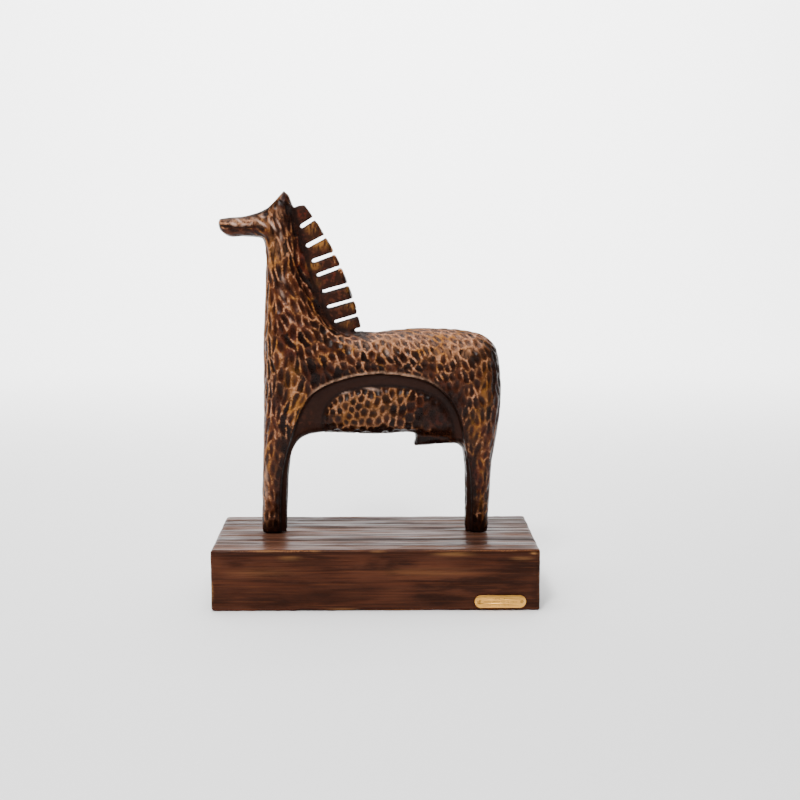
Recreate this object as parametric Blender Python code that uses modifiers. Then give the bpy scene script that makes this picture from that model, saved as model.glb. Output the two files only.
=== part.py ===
"""Carved wooden horse with an upright comb mane, standing on a wooden plinth with a brass nameplate.

The horse is one carved piece. It is built the way a carver works it: an outline drawn on a board,
rounded over from both sides, with an arch hollowed out beside the belly. Metres, +Z up. The origin
is the centre of the plinth's underside, +X runs towards the rump and +Y towards the far side.
"""

import math

import bmesh
import bpy
import numpy as np
from mathutils import Matrix, Vector
from mathutils.geometry import delaunay_2d_cdt

# Plinth
PLINTH_LENGTH = 0.200
PLINTH_DEPTH = 0.100
PLINTH_HEIGHT = 0.038
PLINTH_EDGE_ROUND = 0.0020

# Gap that two touching pieces keep
SEAT_GAP = 0.0003

# Nameplate on the plinth's front face, its place measured to its centre
PLATE_LENGTH = 0.0313
PLATE_HEIGHT = 0.0078
PLATE_THICKNESS = 0.0009
PLATE_EDGE_ROUND = 0.00025
PLATE_END_MARGIN = 0.0085
PLATE_FOOT_MARGIN = 0.0020
PIN_END_INSET = 0.0026
PIN_SHANK_RADIUS = 0.0004
PIN_HEAD_RADIUS = 0.0011
PIN_HEAD_HEIGHT = 0.0006
PIN_DEPTH = 0.0060
PIN_CLEARANCE = 0.0002
PIN_END_CLEARANCE = 0.0006
HOLE_OVERRUN = 0.0012

# Horse: its whole height, and how far its middle plane stands behind the plinth's centre line
HORSE_HEIGHT = 0.2156
HORSE_SETBACK = 0.005

# The carving below is drawn in units of 1 mm on a horse this tall, and scaled to HORSE_HEIGHT
DRAWN_HEIGHT = 215.6

# Half thicknesses of the carving, from the middle plane to the face
TRUNK_HALF = 18.0
FOOT_HALF = 9.0
POLL_HALF = 10.0
SNOUT_HALF = 5.6
EAR_HALF = 8.2
MANE_ROOT_HALF = 5.6
MANE_EDGE_HALF = 4.3

# Levels between which the legs spread, the neck narrows, and the head and ears begin
LEG_SPREAD_TOP = 100.0
NECK_BASE = 118.0
NECK_TOP = 186.0
EAR_BASE = 203.0
EAR_RISE = 8.0
SNOUT_SPAN = (66.0, 92.0)
CHIN_LEVELS = (182.0, 188.0)

# Soft swellings of the sides: centre, reach and height of the haunch, the shoulder and the loin's dip
SIDE_SWELLINGS = (
    ((58.0, 96.0), 24.0, 0.9),
    ((-50.0, 104.0), 24.0, 0.9),
    ((6.0, 118.0), 20.0, -1.2),
)

# Hollow between the legs: a step at its edge, a sloping band, then the belly swelling out again
ARCH_STEP_DEPTH = 2.2
ARCH_STEP_WIDTH = 0.9
BAND_SLOPE = 0.42
HOLLOW_DEPTH = 7.2
BELLY_SWELL = 3.8
BELLY_ROUND = 9.0
SHEATH_HALF = 7.0
SHEATH_TOP = 62.5
SHEATH_FRONT = 23.0
SHEATH_BACK = (45.0, 54.0)

# Comb mane: round-ended slots cut right through. The cut runs on past the mane's edge and sides.
SLOT_WIDTH = 2.0
SLOT_OVERRUN = 6.0
SAW_REACH = 11.2

# Gap between near and far legs with its reach along the horse, and the notch between the ears
LEG_GAP_FOOT = 5.0
LEG_GAP_TOP = 8.5
FRONT_CROTCH = 58.0
FRONT_GAP_SPAN = (-83.0, -53.0)
HIND_CROTCH = 50.0
HIND_GAP_SPAN = (53.0, 83.0)
EAR_NOTCH_WIDTH = 7.4
EAR_NOTCH_BASE_WIDTH = 1.2
EAR_NOTCH_BASE = 204.6
EAR_NOTCH_SPAN = (-80.0, -51.6)
CUT_OVERRUN = 2.0

# Spacing of the mesh: along outlines, over the faces, and in the rows that follow an edge. A row
# keeps a share of its own depth to every other edge, and the even field stays behind the last row.
EDGE_SPACING = 2.9
FACE_SPACING = 4.0
EDGE_ROWS = (1.1, 3.4)
ROW_KEEPS = 0.92
ROW_SPREAD = 1.4
CLEARANCE_SHARE = 0.62
FIELD_MARGIN = 1.2
ON_LINE = 0.02
MERGE_WITHIN = 0.01

# Steps of the round forms, and the angles above which an edge is left sharp
PLINTH_EDGE_STEPS = 3
PLATE_EDGE_STEPS = 2
PLATE_END_STEPS = 14
SLOT_END_STEPS = 8
LEG_GAP_STEPS = 8
PIN_STEPS = 16
PIN_HEAD_STEPS = 5
WELD_DISTANCE = 0.00001
CARVING_SHARP_ANGLE = math.radians(40)
PLINTH_SHARP_ANGLE = math.radians(35)

# Outline of the carving seen from its left side. Each point is x, z, the depth of the round-over
# there, and the half width of the flat rim that it leaves.
FRONT_EDGE = (
    (-72.0, 0.0, 4.5, 5.2), (-71.7, 24.0, 4.5, 5.6), (-70.8, 48.0, 5.5, 6.0), (-70.4, 68.0, 9.0, 3.5),
    (-70.2, 98.0, 12.0, 1.6), (-70.0, 126.0, 12.0, 1.4), (-68.6, 150.0, 10.0, 1.2),
    (-68.2, 168.0, 8.5, 1.2), (-68.4, 180.0, 7.0, 1.2), (-69.8, 186.4, 5.0, 1.4),
)
JAW = (
    (-69.8, 186.4, 5.0, 1.4), (-74.0, 187.1, 4.5, 1.4), (-82.0, 187.4, 4.5, 1.4),
    (-89.5, 187.3, 4.5, 1.2), (-93.6, 188.8, 4.5, 1.2), (-96.4, 191.6, 4.5, 1.2),
    (-97.4, 195.2, 4.5, 1.2),
)
NOSE_TIP = ((-97.4, 195.2, 4.5, 1.2), (-97.3, 196.8, 4.5, 1.2), (-96.6, 198.0, 4.5, 1.4))
FACE_LINE = (
    (-96.6, 198.0, 4.5, 1.4), (-91.0, 198.7, 4.5, 1.6), (-83.0, 199.2, 4.5, 1.8),
    (-76.0, 200.7, 5.0, 2.4), (-69.5, 203.2, 5.0, 3.6), (-64.6, 206.3, 4.0, 5.2),
    (-60.4, 210.8, 2.6, 6.4), (-57.2, 215.0, 1.4, 6.0), (-56.3, 215.6, 1.2, 5.6),
)
EAR_BACK = (
    (-56.3, 215.6, 1.2, 5.6), (-54.3, 213.2, 1.6, 6.0), (-52.9, 209.6, 2.4, 6.4),
    (-51.0, 204.9, 4.0, 5.8),
)
MANE_TOP = ((-51.0, 204.9, 0.8, 4.6), (-47.6, 206.4, 0.8, 4.2), (-44.0, 207.0, 0.8, 3.7))
MANE_OUTER_ENDS = ((-44.0, 207.0), (-8.2, 127.4))
MANE_OUTER_BULGE = 4.7
MANE_OUTER_RIM = (0.8, 3.7)
BACK_LINE = (
    (-8.2, 127.4, 15.0, 1.0), (0.0, 127.2, 16.0, 0.8), (11.0, 128.4, 16.5, 0.8),
    (26.0, 129.5, 17.0, 0.8), (42.0, 129.4, 17.0, 0.8), (54.0, 128.5, 16.5, 0.8),
    (64.0, 126.7, 15.0, 0.8), (70.4, 123.5, 13.5, 0.9), (75.2, 118.8, 12.5, 1.0),
    (77.5, 111.6, 12.0, 1.2), (79.0, 100.0, 11.5, 1.4), (79.4, 90.0, 11.0, 1.6),
    (78.9, 78.0, 10.0, 2.2), (77.4, 67.0, 8.0, 3.4), (75.2, 55.0, 6.0, 5.2),
    (73.3, 42.0, 5.0, 5.8), (72.3, 24.0, 4.5, 5.6), (71.1, 0.0, 4.5, 5.2),
)
# Line along which the neck meets the mane, from the ear's notch down to the back
MANE_ROOT = (
    (-51.0, 204.9, 4.0, 5.8), (-52.0, 198.5, 5.0, 5.4), (-49.6, 185.5, 6.5, 5.0),
    (-48.0, 171.5, 8.0, 5.0), (-43.2, 155.5, 10.0, 5.0), (-37.2, 142.5, 12.0, 4.8),
    (-29.0, 132.6, 13.5, 4.2), (-19.0, 127.4, 14.5, 2.8), (-8.2, 127.4, 15.0, 1.0),
)
# Underside, from the hind foot round to the front foot. NO_RIM leaves the hollow's own thickness.
NO_RIM = 40.0
UNDERSIDE = (
    (57.2, 0.0, 1.0, NO_RIM), (57.7, 20.0, 1.0, NO_RIM), (57.5, 36.0, 1.0, NO_RIM),
    (56.7, 48.0, 2.0, 20.0), (55.2, 54.4, 3.0, 8.0), (51.6, 57.1, 4.0, 4.0),
)
SHEATH_LINE = ((51.6, 57.1, 4.0, 4.0), (42.0, 56.6, 4.0, 3.0), (32.0, 55.7, 4.0, 2.4),
               (24.4, 55.4, 3.0, 2.2))
SHEATH_TIP = ((24.4, 55.4, 3.0, 2.2), (25.4, 59.4, 4.0, 2.6), (25.8, 63.6, 5.0, 3.0))
BELLY_LINE = (
    (25.8, 63.6, 5.0, 3.0), (19.0, 64.2, 8.0, 2.6), (6.0, 63.2, 9.0, 2.4), (-8.0, 63.1, 9.0, 2.4),
    (-22.0, 63.9, 9.0, 2.4), (-34.0, 63.8, 8.0, 3.0), (-43.0, 62.3, 6.0, 4.4),
    (-49.4, 58.4, 4.0, 8.0), (-53.2, 50.6, 2.0, 20.0), (-55.2, 39.0, 1.0, NO_RIM),
    (-56.2, 22.0, 1.0, NO_RIM), (-56.8, 0.0, 1.0, NO_RIM),
)
# Edge of the hollow on the flank and down the legs' inner sides, and the edge of the belly in it
ARCH_LINE = (
    (-60.6, 0.0), (-60.2, 22.0), (-59.0, 38.0), (-55.6, 54.0), (-50.4, 69.5), (-45.6, 81.2),
    (-39.8, 89.4), (-31.8, 95.0), (-20.0, 99.4), (-8.0, 101.9), (4.0, 102.7), (17.3, 101.6),
    (30.5, 98.8), (39.4, 94.0), (46.0, 87.6), (51.0, 79.4), (54.4, 69.6), (57.2, 55.0),
    (60.2, 38.0), (61.0, 22.0), (60.9, 0.0),
)
BELLY_EDGE = (
    (-30.5, 62.0), (-33.0, 70.0), (-31.5, 79.5), (-25.0, 87.8), (-13.0, 92.4), (2.0, 94.4),
    (19.0, 93.6), (32.0, 90.6), (41.0, 85.0), (46.5, 77.0), (48.8, 68.0), (49.0, 58.0),
)
# Slots of the comb, each from its round inner end to the mane's outer edge, with its width at both
# as a share of the slots' width. They are cut by hand, and the lowest is a wedge above the back.
MANE_SLOTS = (
    ((-45.7, 193.6), (-36.6, 199.5), 1.20, 0.96), ((-42.2, 181.5), (-30.3, 187.8), 1.30, 0.96),
    ((-38.7, 172.0), (-24.8, 177.1), 1.10, 1.00), ((-35.8, 163.2), (-20.6, 168.8), 1.08, 0.95),
    ((-33.4, 152.7), (-16.2, 157.6), 0.98, 1.02), ((-29.4, 143.4), (-12.7, 148.0), 1.05, 0.95),
    ((-25.1, 134.1), (-9.7, 138.5), 0.98, 0.94), ((-14.2, 128.2), (-7.0, 129.4), 0.90, 1.50),
)


def surface(name, color, roughness, metallic=0.0):
    """A Principled material with the colour, roughness and metallic value of one finish."""
    material = bpy.data.materials.new(name)
    material.use_nodes = True
    shader = material.node_tree.nodes["Principled BSDF"]
    shader.inputs["Base Color"].default_value = (*color, 1.0)
    shader.inputs["Roughness"].default_value = roughness
    shader.inputs["Metallic"].default_value = metallic
    material.diffuse_color = (*color, 1.0)
    return material


def place_in(collection, item):
    """Moves an object out of the active collection into the one given."""
    for other in list(item.users_collection):
        other.objects.unlink(item)
    collection.objects.link(item)


def mesh_from_curve(curve_object):
    """Turns a curve object into a mesh object with welded caps, in the same place."""
    bpy.context.view_layer.update()
    graph = bpy.context.evaluated_depsgraph_get()
    mesh = bpy.data.meshes.new_from_object(curve_object.evaluated_get(graph))
    work = bmesh.new()
    work.from_mesh(mesh)
    bmesh.ops.remove_doubles(work, verts=work.verts, dist=WELD_DISTANCE)
    bmesh.ops.recalc_face_normals(work, faces=work.faces)
    work.to_mesh(mesh)
    work.free()
    name, place = curve_object.name, curve_object.matrix_world.copy()
    bpy.data.objects.remove(curve_object)
    solid = bpy.data.objects.new(name, mesh)
    solid.matrix_world = place
    bpy.context.scene.collection.objects.link(solid)
    return solid


def flat_solid(name, outline, thickness, turn):
    """A flat outline with straight sides, centred on its own plane and turned into place."""
    curve = bpy.data.curves.new(name, "CURVE")
    curve.dimensions = "2D"
    curve.fill_mode = "BOTH"
    curve.extrude = thickness / 2
    spline = curve.splines.new("POLY")
    spline.points.add(len(outline) - 1)
    for point, (across, along) in zip(spline.points, outline):
        point.co = Vector((across, along, 0.0)).to_4d()
    spline.use_cyclic_u = True
    item = bpy.data.objects.new(name, curve)
    item.matrix_world = turn
    bpy.context.scene.collection.objects.link(item)
    return mesh_from_curve(item)


def make_cutter(item, cutters):
    """Marks an object as a cutter."""
    place_in(cutters, item)
    item.hide_render = True
    item.display_type = "WIRE"
    return item


def cut(item, cutter):
    """Takes the cutter's shape out of an object."""
    modifier = item.modifiers.new(cutter.name, "BOOLEAN")
    modifier.operation = "DIFFERENCE"
    modifier.object = cutter


def round_ended(start, end, start_width, end_width, arc_steps):
    """Outline of a strip with round ends, from one end's centre to the other's."""
    (x0, y0), (x1, y1) = start, end
    heading = math.atan2(y1 - y0, x1 - x0)
    outline = []
    for cx, cy, width, first in ((x1, y1, end_width, heading - math.pi / 2),
                                 (x0, y0, start_width, heading + math.pi / 2)):
        for step in range(arc_steps + 1):
            angle = first + math.pi * step / arc_steps
            outline.append((cx + width / 2 * math.cos(angle), cy + width / 2 * math.sin(angle)))
    return outline


def smooth_run(points, spacing):
    """Points along a smooth curve through those given, about one spacing apart, ends included."""
    knots = np.array(points, dtype=float)
    before = 2 * knots[0] - knots[1]
    after = 2 * knots[-1] - knots[-2]
    padded = np.vstack([before, knots, after])
    run = [knots[0]]
    for index in range(len(knots) - 1):
        a, b, c, d = padded[index:index + 4]
        steps = max(1, round(float(np.linalg.norm((c - b)[:2])) / spacing))
        for step in range(1, steps + 1):
            t = step / steps
            run.append(0.5 * (2 * b + (c - a) * t + (2 * a - 5 * b + 4 * c - d) * t ** 2
                              + (3 * b - a - 3 * c + d) * t ** 3))
    return np.array(run)


def arc_run(ends, bulge, rim, spacing):
    """A circular arc between two points that bulges outwards, with one rim all along."""
    start, end = np.array(ends[0]), np.array(ends[1])
    chord = end - start
    half = float(np.linalg.norm(chord)) / 2
    radius = (half ** 2 + bulge ** 2) / (2 * bulge)
    along = chord / (2 * half)
    outward = np.array([-along[1], along[0]])
    centre = (start + end) / 2 - outward * (radius - bulge)
    sweep = math.asin(half / radius)
    steps = max(2, round(2 * sweep * radius / spacing))
    run = []
    for step in range(steps + 1):
        angle = sweep * (2 * step / steps - 1)
        spot = centre + radius * (outward * math.cos(angle) + along * math.sin(angle))
        run.append((*spot, *rim))
    return np.array(run)


def join_runs(*runs):
    """One run out of several that meet end to end."""
    return np.vstack([runs[0]] + [run[1:] for run in runs[1:]])


def nearest(points, run):
    """Distance from each point to a run, and the run's other values at the nearest place."""
    start, end = run[:-1], run[1:]
    span = end[:, :2] - start[:, :2]
    length2 = np.maximum((span ** 2).sum(axis=1), 1e-12)
    best = np.full(len(points), np.inf)
    values = np.zeros((len(points), run.shape[1] - 2))
    for index in range(len(start)):
        offset = points - start[index, :2]
        share = np.clip(offset @ span[index] / length2[index], 0.0, 1.0)
        gap = np.linalg.norm(offset - share[:, None] * span[index], axis=1)
        closer = gap < best
        best[closer] = gap[closer]
        mixed = start[index, 2:] + share[:, None] * (end[index, 2:] - start[index, 2:])
        values[closer] = mixed[closer]
    return best, values


def distance(points, run):
    """Distance from each point to a run."""
    return nearest(points, run)[0]


def inside(points, outline):
    """True for each point that lies inside a closed outline."""
    result = np.zeros(len(points), dtype=bool)
    x, z = points[:, 0], points[:, 1]
    for (x0, z0), (x1, z1) in zip(outline[:, :2], np.roll(outline[:, :2], -1, axis=0)):
        if z0 == z1:
            continue
        crossing = x0 + (z - z0) * (x1 - x0) / (z1 - z0)
        result ^= ((z0 > z) != (z1 > z)) & (x < crossing)
    return result


def eased(value, start, end):
    """Rises smoothly from 0 at start to 1 at end."""
    share = np.clip((value - start) / (end - start), 0.0, 1.0)
    return share * share * (3 - 2 * share)


def rounded(share):
    """Quarter circle: how much of its height a round-over has reached at a share of its depth."""
    return np.sqrt(1 - (1 - np.clip(share, 0.0, 1.0)) ** 2)


def swelling(points, centre, reach):
    """A soft hill, 1 at its centre."""
    away = (points - np.array(centre)) / reach
    return np.exp(-(away ** 2).sum(axis=1))


class Carving:
    """The horse's outline as runs, and the half thickness of the wood at any place in it."""

    def __init__(self):
        step = EDGE_SPACING
        fine = EDGE_SPACING / 2
        self.head = join_runs(smooth_run(JAW, fine), smooth_run(NOSE_TIP, fine),
                              smooth_run(FACE_LINE, fine), smooth_run(EAR_BACK, fine))
        self.front = smooth_run(FRONT_EDGE, step)
        self.mane = join_runs(smooth_run(MANE_TOP, step),
                              arc_run(MANE_OUTER_ENDS, MANE_OUTER_BULGE, MANE_OUTER_RIM, step))
        self.root = smooth_run(MANE_ROOT, step)
        self.back = smooth_run(BACK_LINE, step)
        self.under = join_runs(smooth_run(UNDERSIDE, step), smooth_run(SHEATH_LINE, step),
                               smooth_run(SHEATH_TIP, step), smooth_run(BELLY_LINE, step))
        self.arch = smooth_run(ARCH_LINE, step)
        self.arch_foot = self.arch[:, :2] + self.inward(self.arch) * ARCH_STEP_WIDTH
        self.belly = smooth_run(BELLY_EDGE, step)
        self.outer = join_runs(self.front, self.head, self.mane, self.back)
        self.body = join_runs(self.front, self.head, self.root, self.back)
        self.mane_region = np.vstack([self.mane[:, :2], self.root[::-1, :2]])
        self.boundary = np.vstack([self.outer, self.foot_row(self.back, self.under),
                                   self.under, self.foot_row(self.under, self.front)])
        self.closed = np.vstack([self.boundary, self.boundary[:1]])
        self.lines = [self.well_inside(line)
                      for line in (self.root, self.arch, self.arch_foot, self.belly)]

    def foot_row(self, leaving, entering):
        """Points along the underside of a foot, between the two runs that end at it."""
        start, end = leaving[-1], entering[0]
        steps = round(float(np.linalg.norm((end - start)[:2])) / EDGE_SPACING)
        return np.array([start + (end - start) * step / steps for step in range(1, steps)])

    def well_inside(self, run):
        """The part of a run that keeps clear of the outline."""
        clear = distance(run[:, :2], self.closed)
        return run[inside(run, self.boundary) & (clear > EDGE_ROWS[0]), :2]

    def inward(self, run):
        """Unit steps square to a run, to its right as it goes."""
        tangent = np.gradient(run[:, :2], axis=0)
        across = np.stack([tangent[:, 1], -tangent[:, 0]], axis=1)
        return across / np.linalg.norm(across, axis=1)[:, None]

    def core(self, points):
        """Half thickness before any edge is rounded."""
        x, z = points[:, 0], points[:, 1]
        spread = np.sin(np.clip(z / LEG_SPREAD_TOP, 0.0, 1.0) * math.pi / 2)
        half = FOOT_HALF + (TRUNK_HALF - FOOT_HALF) * spread
        for centre, reach, height in SIDE_SWELLINGS:
            half = half + height * swelling(points, centre, reach)
        half = half + (POLL_HALF - TRUNK_HALF) * eased(z, NECK_BASE, NECK_TOP)
        to_snout = eased(-x, *SNOUT_SPAN) * eased(z, *CHIN_LEVELS)
        half = half + (SNOUT_HALF - POLL_HALF) * to_snout
        return half + (EAR_HALF - POLL_HALF) * eased(z, EAR_BASE, EAR_BASE + EAR_RISE)

    def plate(self, points):
        """Half thickness of the mane, from its root to its outer edge."""
        to_edge, rim = nearest(points, self.mane)
        to_root = distance(points, self.root)
        share = to_root / np.maximum(to_root + to_edge, 1e-6)
        half = MANE_ROOT_HALF + (MANE_EDGE_HALF - MANE_ROOT_HALF) * share
        return rim[:, 1] + (half - rim[:, 1]) * rounded(to_edge / rim[:, 0])

    def hollow(self, points):
        """Depth of the hollow between the legs, from the flank's face."""
        into = np.where(inside(points, self.arch), distance(points, self.arch), 0.0)
        into_belly = np.where(inside(points, self.belly), distance(points, self.belly), 0.0)
        depth = ARCH_STEP_DEPTH * eased(into, 0.0, ARCH_STEP_WIDTH) + BAND_SLOPE * into
        depth = np.minimum(depth, HOLLOW_DEPTH)
        return depth - BELLY_SWELL * rounded(into_belly / BELLY_ROUND)

    def half_thickness(self, points):
        """Half thickness of the wood at places in the outline."""
        core = self.core(points)
        edge, rim = nearest(points, self.body)
        half = rim[:, 1] + (core - rim[:, 1]) * rounded(edge / rim[:, 0])
        half = np.minimum(half, core - self.hollow(points))
        x, z = points.T
        narrow = SHEATH_HALF + (half - SHEATH_HALF) * rounded((z - SHEATH_TOP) / BELLY_ROUND)
        narrow = narrow + (half - narrow) * eased(x, *SHEATH_BACK)
        half = np.where((x > SHEATH_FRONT) & inside(points, self.arch), narrow, half)
        edge, rim = nearest(points, self.under)
        floor = np.minimum(rim[:, 1], half)
        half = floor + (half - floor) * rounded(edge / rim[:, 0])
        plate = self.plate(points)
        in_mane = inside(points, self.mane_region) | (distance(points, self.mane) < ON_LINE)
        on_root = distance(points, self.root) < ON_LINE
        return np.where(on_root, np.maximum(half, plate), np.where(in_mane, plate, half))

    def mesh_points(self):
        """Points over the face: the edges' rows first, then an even field, none too close."""
        kept = [spot for line in self.lines for spot in line]
        inward = self.inward(self.closed)[:-1]
        for depth in EDGE_ROWS:
            row = self.boundary[:, :2] + inward * depth
            clear = distance(row, self.closed)
            row = row[inside(row, self.boundary) & (clear > depth * ROW_KEEPS)]
            self.add_clear(kept, row, min(EDGE_SPACING * CLEARANCE_SHARE, depth * ROW_SPREAD))
        low, high = self.boundary[:, :2].min(axis=0), self.boundary[:, :2].max(axis=0)
        rise = FACE_SPACING * math.sqrt(0.75)
        field = []
        for row in range(int((high[1] - low[1]) / rise) + 1):
            shift = FACE_SPACING / 2 * (row % 2)
            for column in range(int((high[0] - low[0]) / FACE_SPACING) + 1):
                field.append((low[0] + shift + column * FACE_SPACING, low[1] + row * rise))
        field = np.array(field)
        clear = distance(field, self.closed)
        field = field[inside(field, self.boundary) & (clear > EDGE_ROWS[-1] + FIELD_MARGIN)]
        self.add_clear(kept, field, FACE_SPACING * CLEARANCE_SHARE)
        return np.array(kept)

    def add_clear(self, kept, candidates, clearance):
        """Adds each candidate that keeps its distance from all that are kept."""
        far = np.array(kept)
        for spot in candidates:
            if ((far - spot) ** 2).sum(axis=1).min() > clearance ** 2:
                far = np.vstack([far, spot])
                kept.append(spot)


def carve_horse(collection, cutters):
    """The whole figure as one solid, standing just clear of the plinth's top."""
    carving = Carving()
    boundary = [Vector(spot) for spot in carving.boundary[:, :2]]
    spots = [Vector(spot) for spot in carving.mesh_points()]
    edges = []
    first = len(boundary)
    for line in carving.lines:
        edges += [(first + i, first + i + 1) for i in range(len(line) - 1)]
        first += len(line)
    outline = list(range(len(boundary)))
    inside_only = 1
    verts, _, triangles, *_ = delaunay_2d_cdt(
        boundary + spots, edges, [outline], inside_only, MERGE_WITHIN)
    flat = np.array([(vert.x, vert.y) for vert in verts])
    half = carving.half_thickness(flat)

    work = bmesh.new()
    near = [work.verts.new((x, -y, z)) for (x, z), y in zip(flat, half)]
    far = [work.verts.new((x, y, z)) for (x, z), y in zip(flat, half)]
    for triangle in triangles:
        work.faces.new([near[index] for index in triangle])
        work.faces.new([far[index] for index in reversed(triangle)])
    partner = dict(zip(near, far))
    for edge in [edge for edge in work.edges if edge.is_boundary and edge.verts[0] in partner]:
        a, b = edge.verts
        work.faces.new((a, b, partner[b], partner[a]))
    bmesh.ops.delete(work, geom=[vert for vert in work.verts if not vert.link_faces], context="VERTS")
    bmesh.ops.recalc_face_normals(work, faces=work.faces)
    unit = HORSE_HEIGHT / DRAWN_HEIGHT
    bmesh.ops.scale(work, vec=(unit, unit, unit), verts=work.verts)
    mesh = bpy.data.meshes.new("horse")
    work.to_mesh(mesh)
    work.free()
    horse = bpy.data.objects.new("horse", mesh)
    collection.objects.link(horse)
    horse.location = (0.0, HORSE_SETBACK, PLINTH_HEIGHT + SEAT_GAP)
    for cutter in [make_cutter(item, cutters) for item in horse_cutters(unit, horse.location)]:
        cut(horse, cutter)
    mesh.shade_smooth()
    mesh.set_sharp_from_angle(angle=CARVING_SHARP_ANGLE)
    return horse


def horse_cutters(unit, foot):
    """Cutters for the comb's slots, the gaps between the legs and the notch between the ears."""
    across = Matrix.Translation(foot) @ Matrix.Rotation(math.pi / 2, 4, "X")
    for number, (inner, outer, inner_share, outer_share) in enumerate(MANE_SLOTS, start=1):
        run = Vector(outer) - Vector(inner)
        beyond = Vector(outer) + run.normalized() * SLOT_OVERRUN
        far_share = inner_share + (outer_share - inner_share) * (1 + SLOT_OVERRUN / run.length)
        outline = round_ended(inner, beyond, inner_share * SLOT_WIDTH, far_share * SLOT_WIDTH,
                              SLOT_END_STEPS)
        yield flat_solid(f"mane_slot_{number}", scaled(outline, unit), 2 * SAW_REACH * unit, across)

    for name, crotch, span in (("front_leg_gap", FRONT_CROTCH, FRONT_GAP_SPAN),
                               ("hind_leg_gap", HIND_CROTCH, HIND_GAP_SPAN)):
        outline = [(-LEG_GAP_FOOT / 2, -CUT_OVERRUN), (LEG_GAP_FOOT / 2, -CUT_OVERRUN)]
        for step in range(LEG_GAP_STEPS + 1):
            angle = math.pi * step / LEG_GAP_STEPS
            outline.append((LEG_GAP_TOP / 2 * math.cos(angle),
                            crotch - LEG_GAP_TOP / 2 * (1 - math.sin(angle))))
        yield lengthwise_cutter(name, outline, span, foot, unit)

    top = DRAWN_HEIGHT + CUT_OVERRUN
    outline = [(-EAR_NOTCH_BASE_WIDTH / 2, EAR_NOTCH_BASE), (EAR_NOTCH_BASE_WIDTH / 2, EAR_NOTCH_BASE),
               (EAR_NOTCH_WIDTH / 2, top), (-EAR_NOTCH_WIDTH / 2, top)]
    yield lengthwise_cutter("ear_notch", outline, EAR_NOTCH_SPAN, foot, unit)


def scaled(outline, unit):
    """An outline in drawn units as metres."""
    return [(across * unit, along * unit) for across, along in outline]


def lengthwise_cutter(name, outline, span, foot, unit):
    """A solid whose outline faces along the horse, over a span of it."""
    start, end = span
    middle = Vector(((start + end) / 2 * unit, 0.0, 0.0))
    turn = (Matrix.Translation(foot + middle)
            @ Matrix.Rotation(math.pi / 2, 4, "Z") @ Matrix.Rotation(math.pi / 2, 4, "X"))
    return flat_solid(name, scaled(outline, unit), (end - start) * unit, turn)


def plate_place():
    """Centre of the nameplate's back face."""
    return Vector((PLINTH_LENGTH / 2 - PLATE_END_MARGIN - PLATE_LENGTH / 2,
                   -PLINTH_DEPTH / 2 - SEAT_GAP,
                   PLATE_FOOT_MARGIN + PLATE_HEIGHT / 2))


def pin_places():
    """Names of the two pins with the centres of their holes on the plate's back face."""
    reach = PLATE_LENGTH / 2 - PIN_END_INSET
    centre = plate_place()
    return (("nameplate_pin_left", centre - Vector((reach, 0.0, 0.0))),
            ("nameplate_pin_right", centre + Vector((reach, 0.0, 0.0))))


def pin_hole(name, centre, cutters):
    """A cutter for a pin's hole, through the plate and into the plinth."""
    inner_end = PIN_DEPTH + PIN_END_CLEARANCE
    length = inner_end + PLATE_THICKNESS + HOLE_OVERRUN
    bpy.ops.mesh.primitive_cylinder_add(vertices=PIN_STEPS, radius=PIN_SHANK_RADIUS + PIN_CLEARANCE,
                                        depth=length, rotation=(math.pi / 2, 0.0, 0.0))
    hole = bpy.context.object
    hole.name = name
    hole.location = centre + Vector((0.0, inner_end - length / 2, 0.0))
    return make_cutter(hole, cutters)


def build_plinth(collection, holes):
    """The rectangular base with softened edges."""
    bpy.ops.mesh.primitive_cube_add(size=1.0)
    plinth = bpy.context.object
    plinth.name = "plinth"
    plinth.scale = (PLINTH_LENGTH, PLINTH_DEPTH, PLINTH_HEIGHT)
    bpy.ops.object.transform_apply(location=False, rotation=False, scale=True)
    plinth.location = (0.0, 0.0, PLINTH_HEIGHT / 2)
    bevel = plinth.modifiers.new("softened_edges", "BEVEL")
    bevel.width = PLINTH_EDGE_ROUND
    bevel.segments = PLINTH_EDGE_STEPS
    for hole in holes:
        cut(plinth, hole)
    plinth.data.shade_smooth()
    plinth.data.set_sharp_from_angle(angle=PLINTH_SHARP_ANGLE)
    place_in(collection, plinth)
    return plinth


def build_nameplate(collection, holes):
    """The pill-shaped brass plate."""
    reach = (PLATE_LENGTH - PLATE_HEIGHT) / 2
    outline = round_ended((-reach, 0.0), (reach, 0.0), PLATE_HEIGHT, PLATE_HEIGHT, PLATE_END_STEPS)
    centre = plate_place() - Vector((0.0, PLATE_THICKNESS / 2, 0.0))
    turn = Matrix.Translation(centre) @ Matrix.Rotation(math.pi / 2, 4, "X")
    plate = flat_solid("nameplate", outline, PLATE_THICKNESS, turn)
    bevel = plate.modifiers.new("eased_edges", "BEVEL")
    bevel.width = PLATE_EDGE_ROUND
    bevel.segments = PLATE_EDGE_STEPS
    for hole in holes:
        cut(plate, hole)
    place_in(collection, plate)
    return plate


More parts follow.
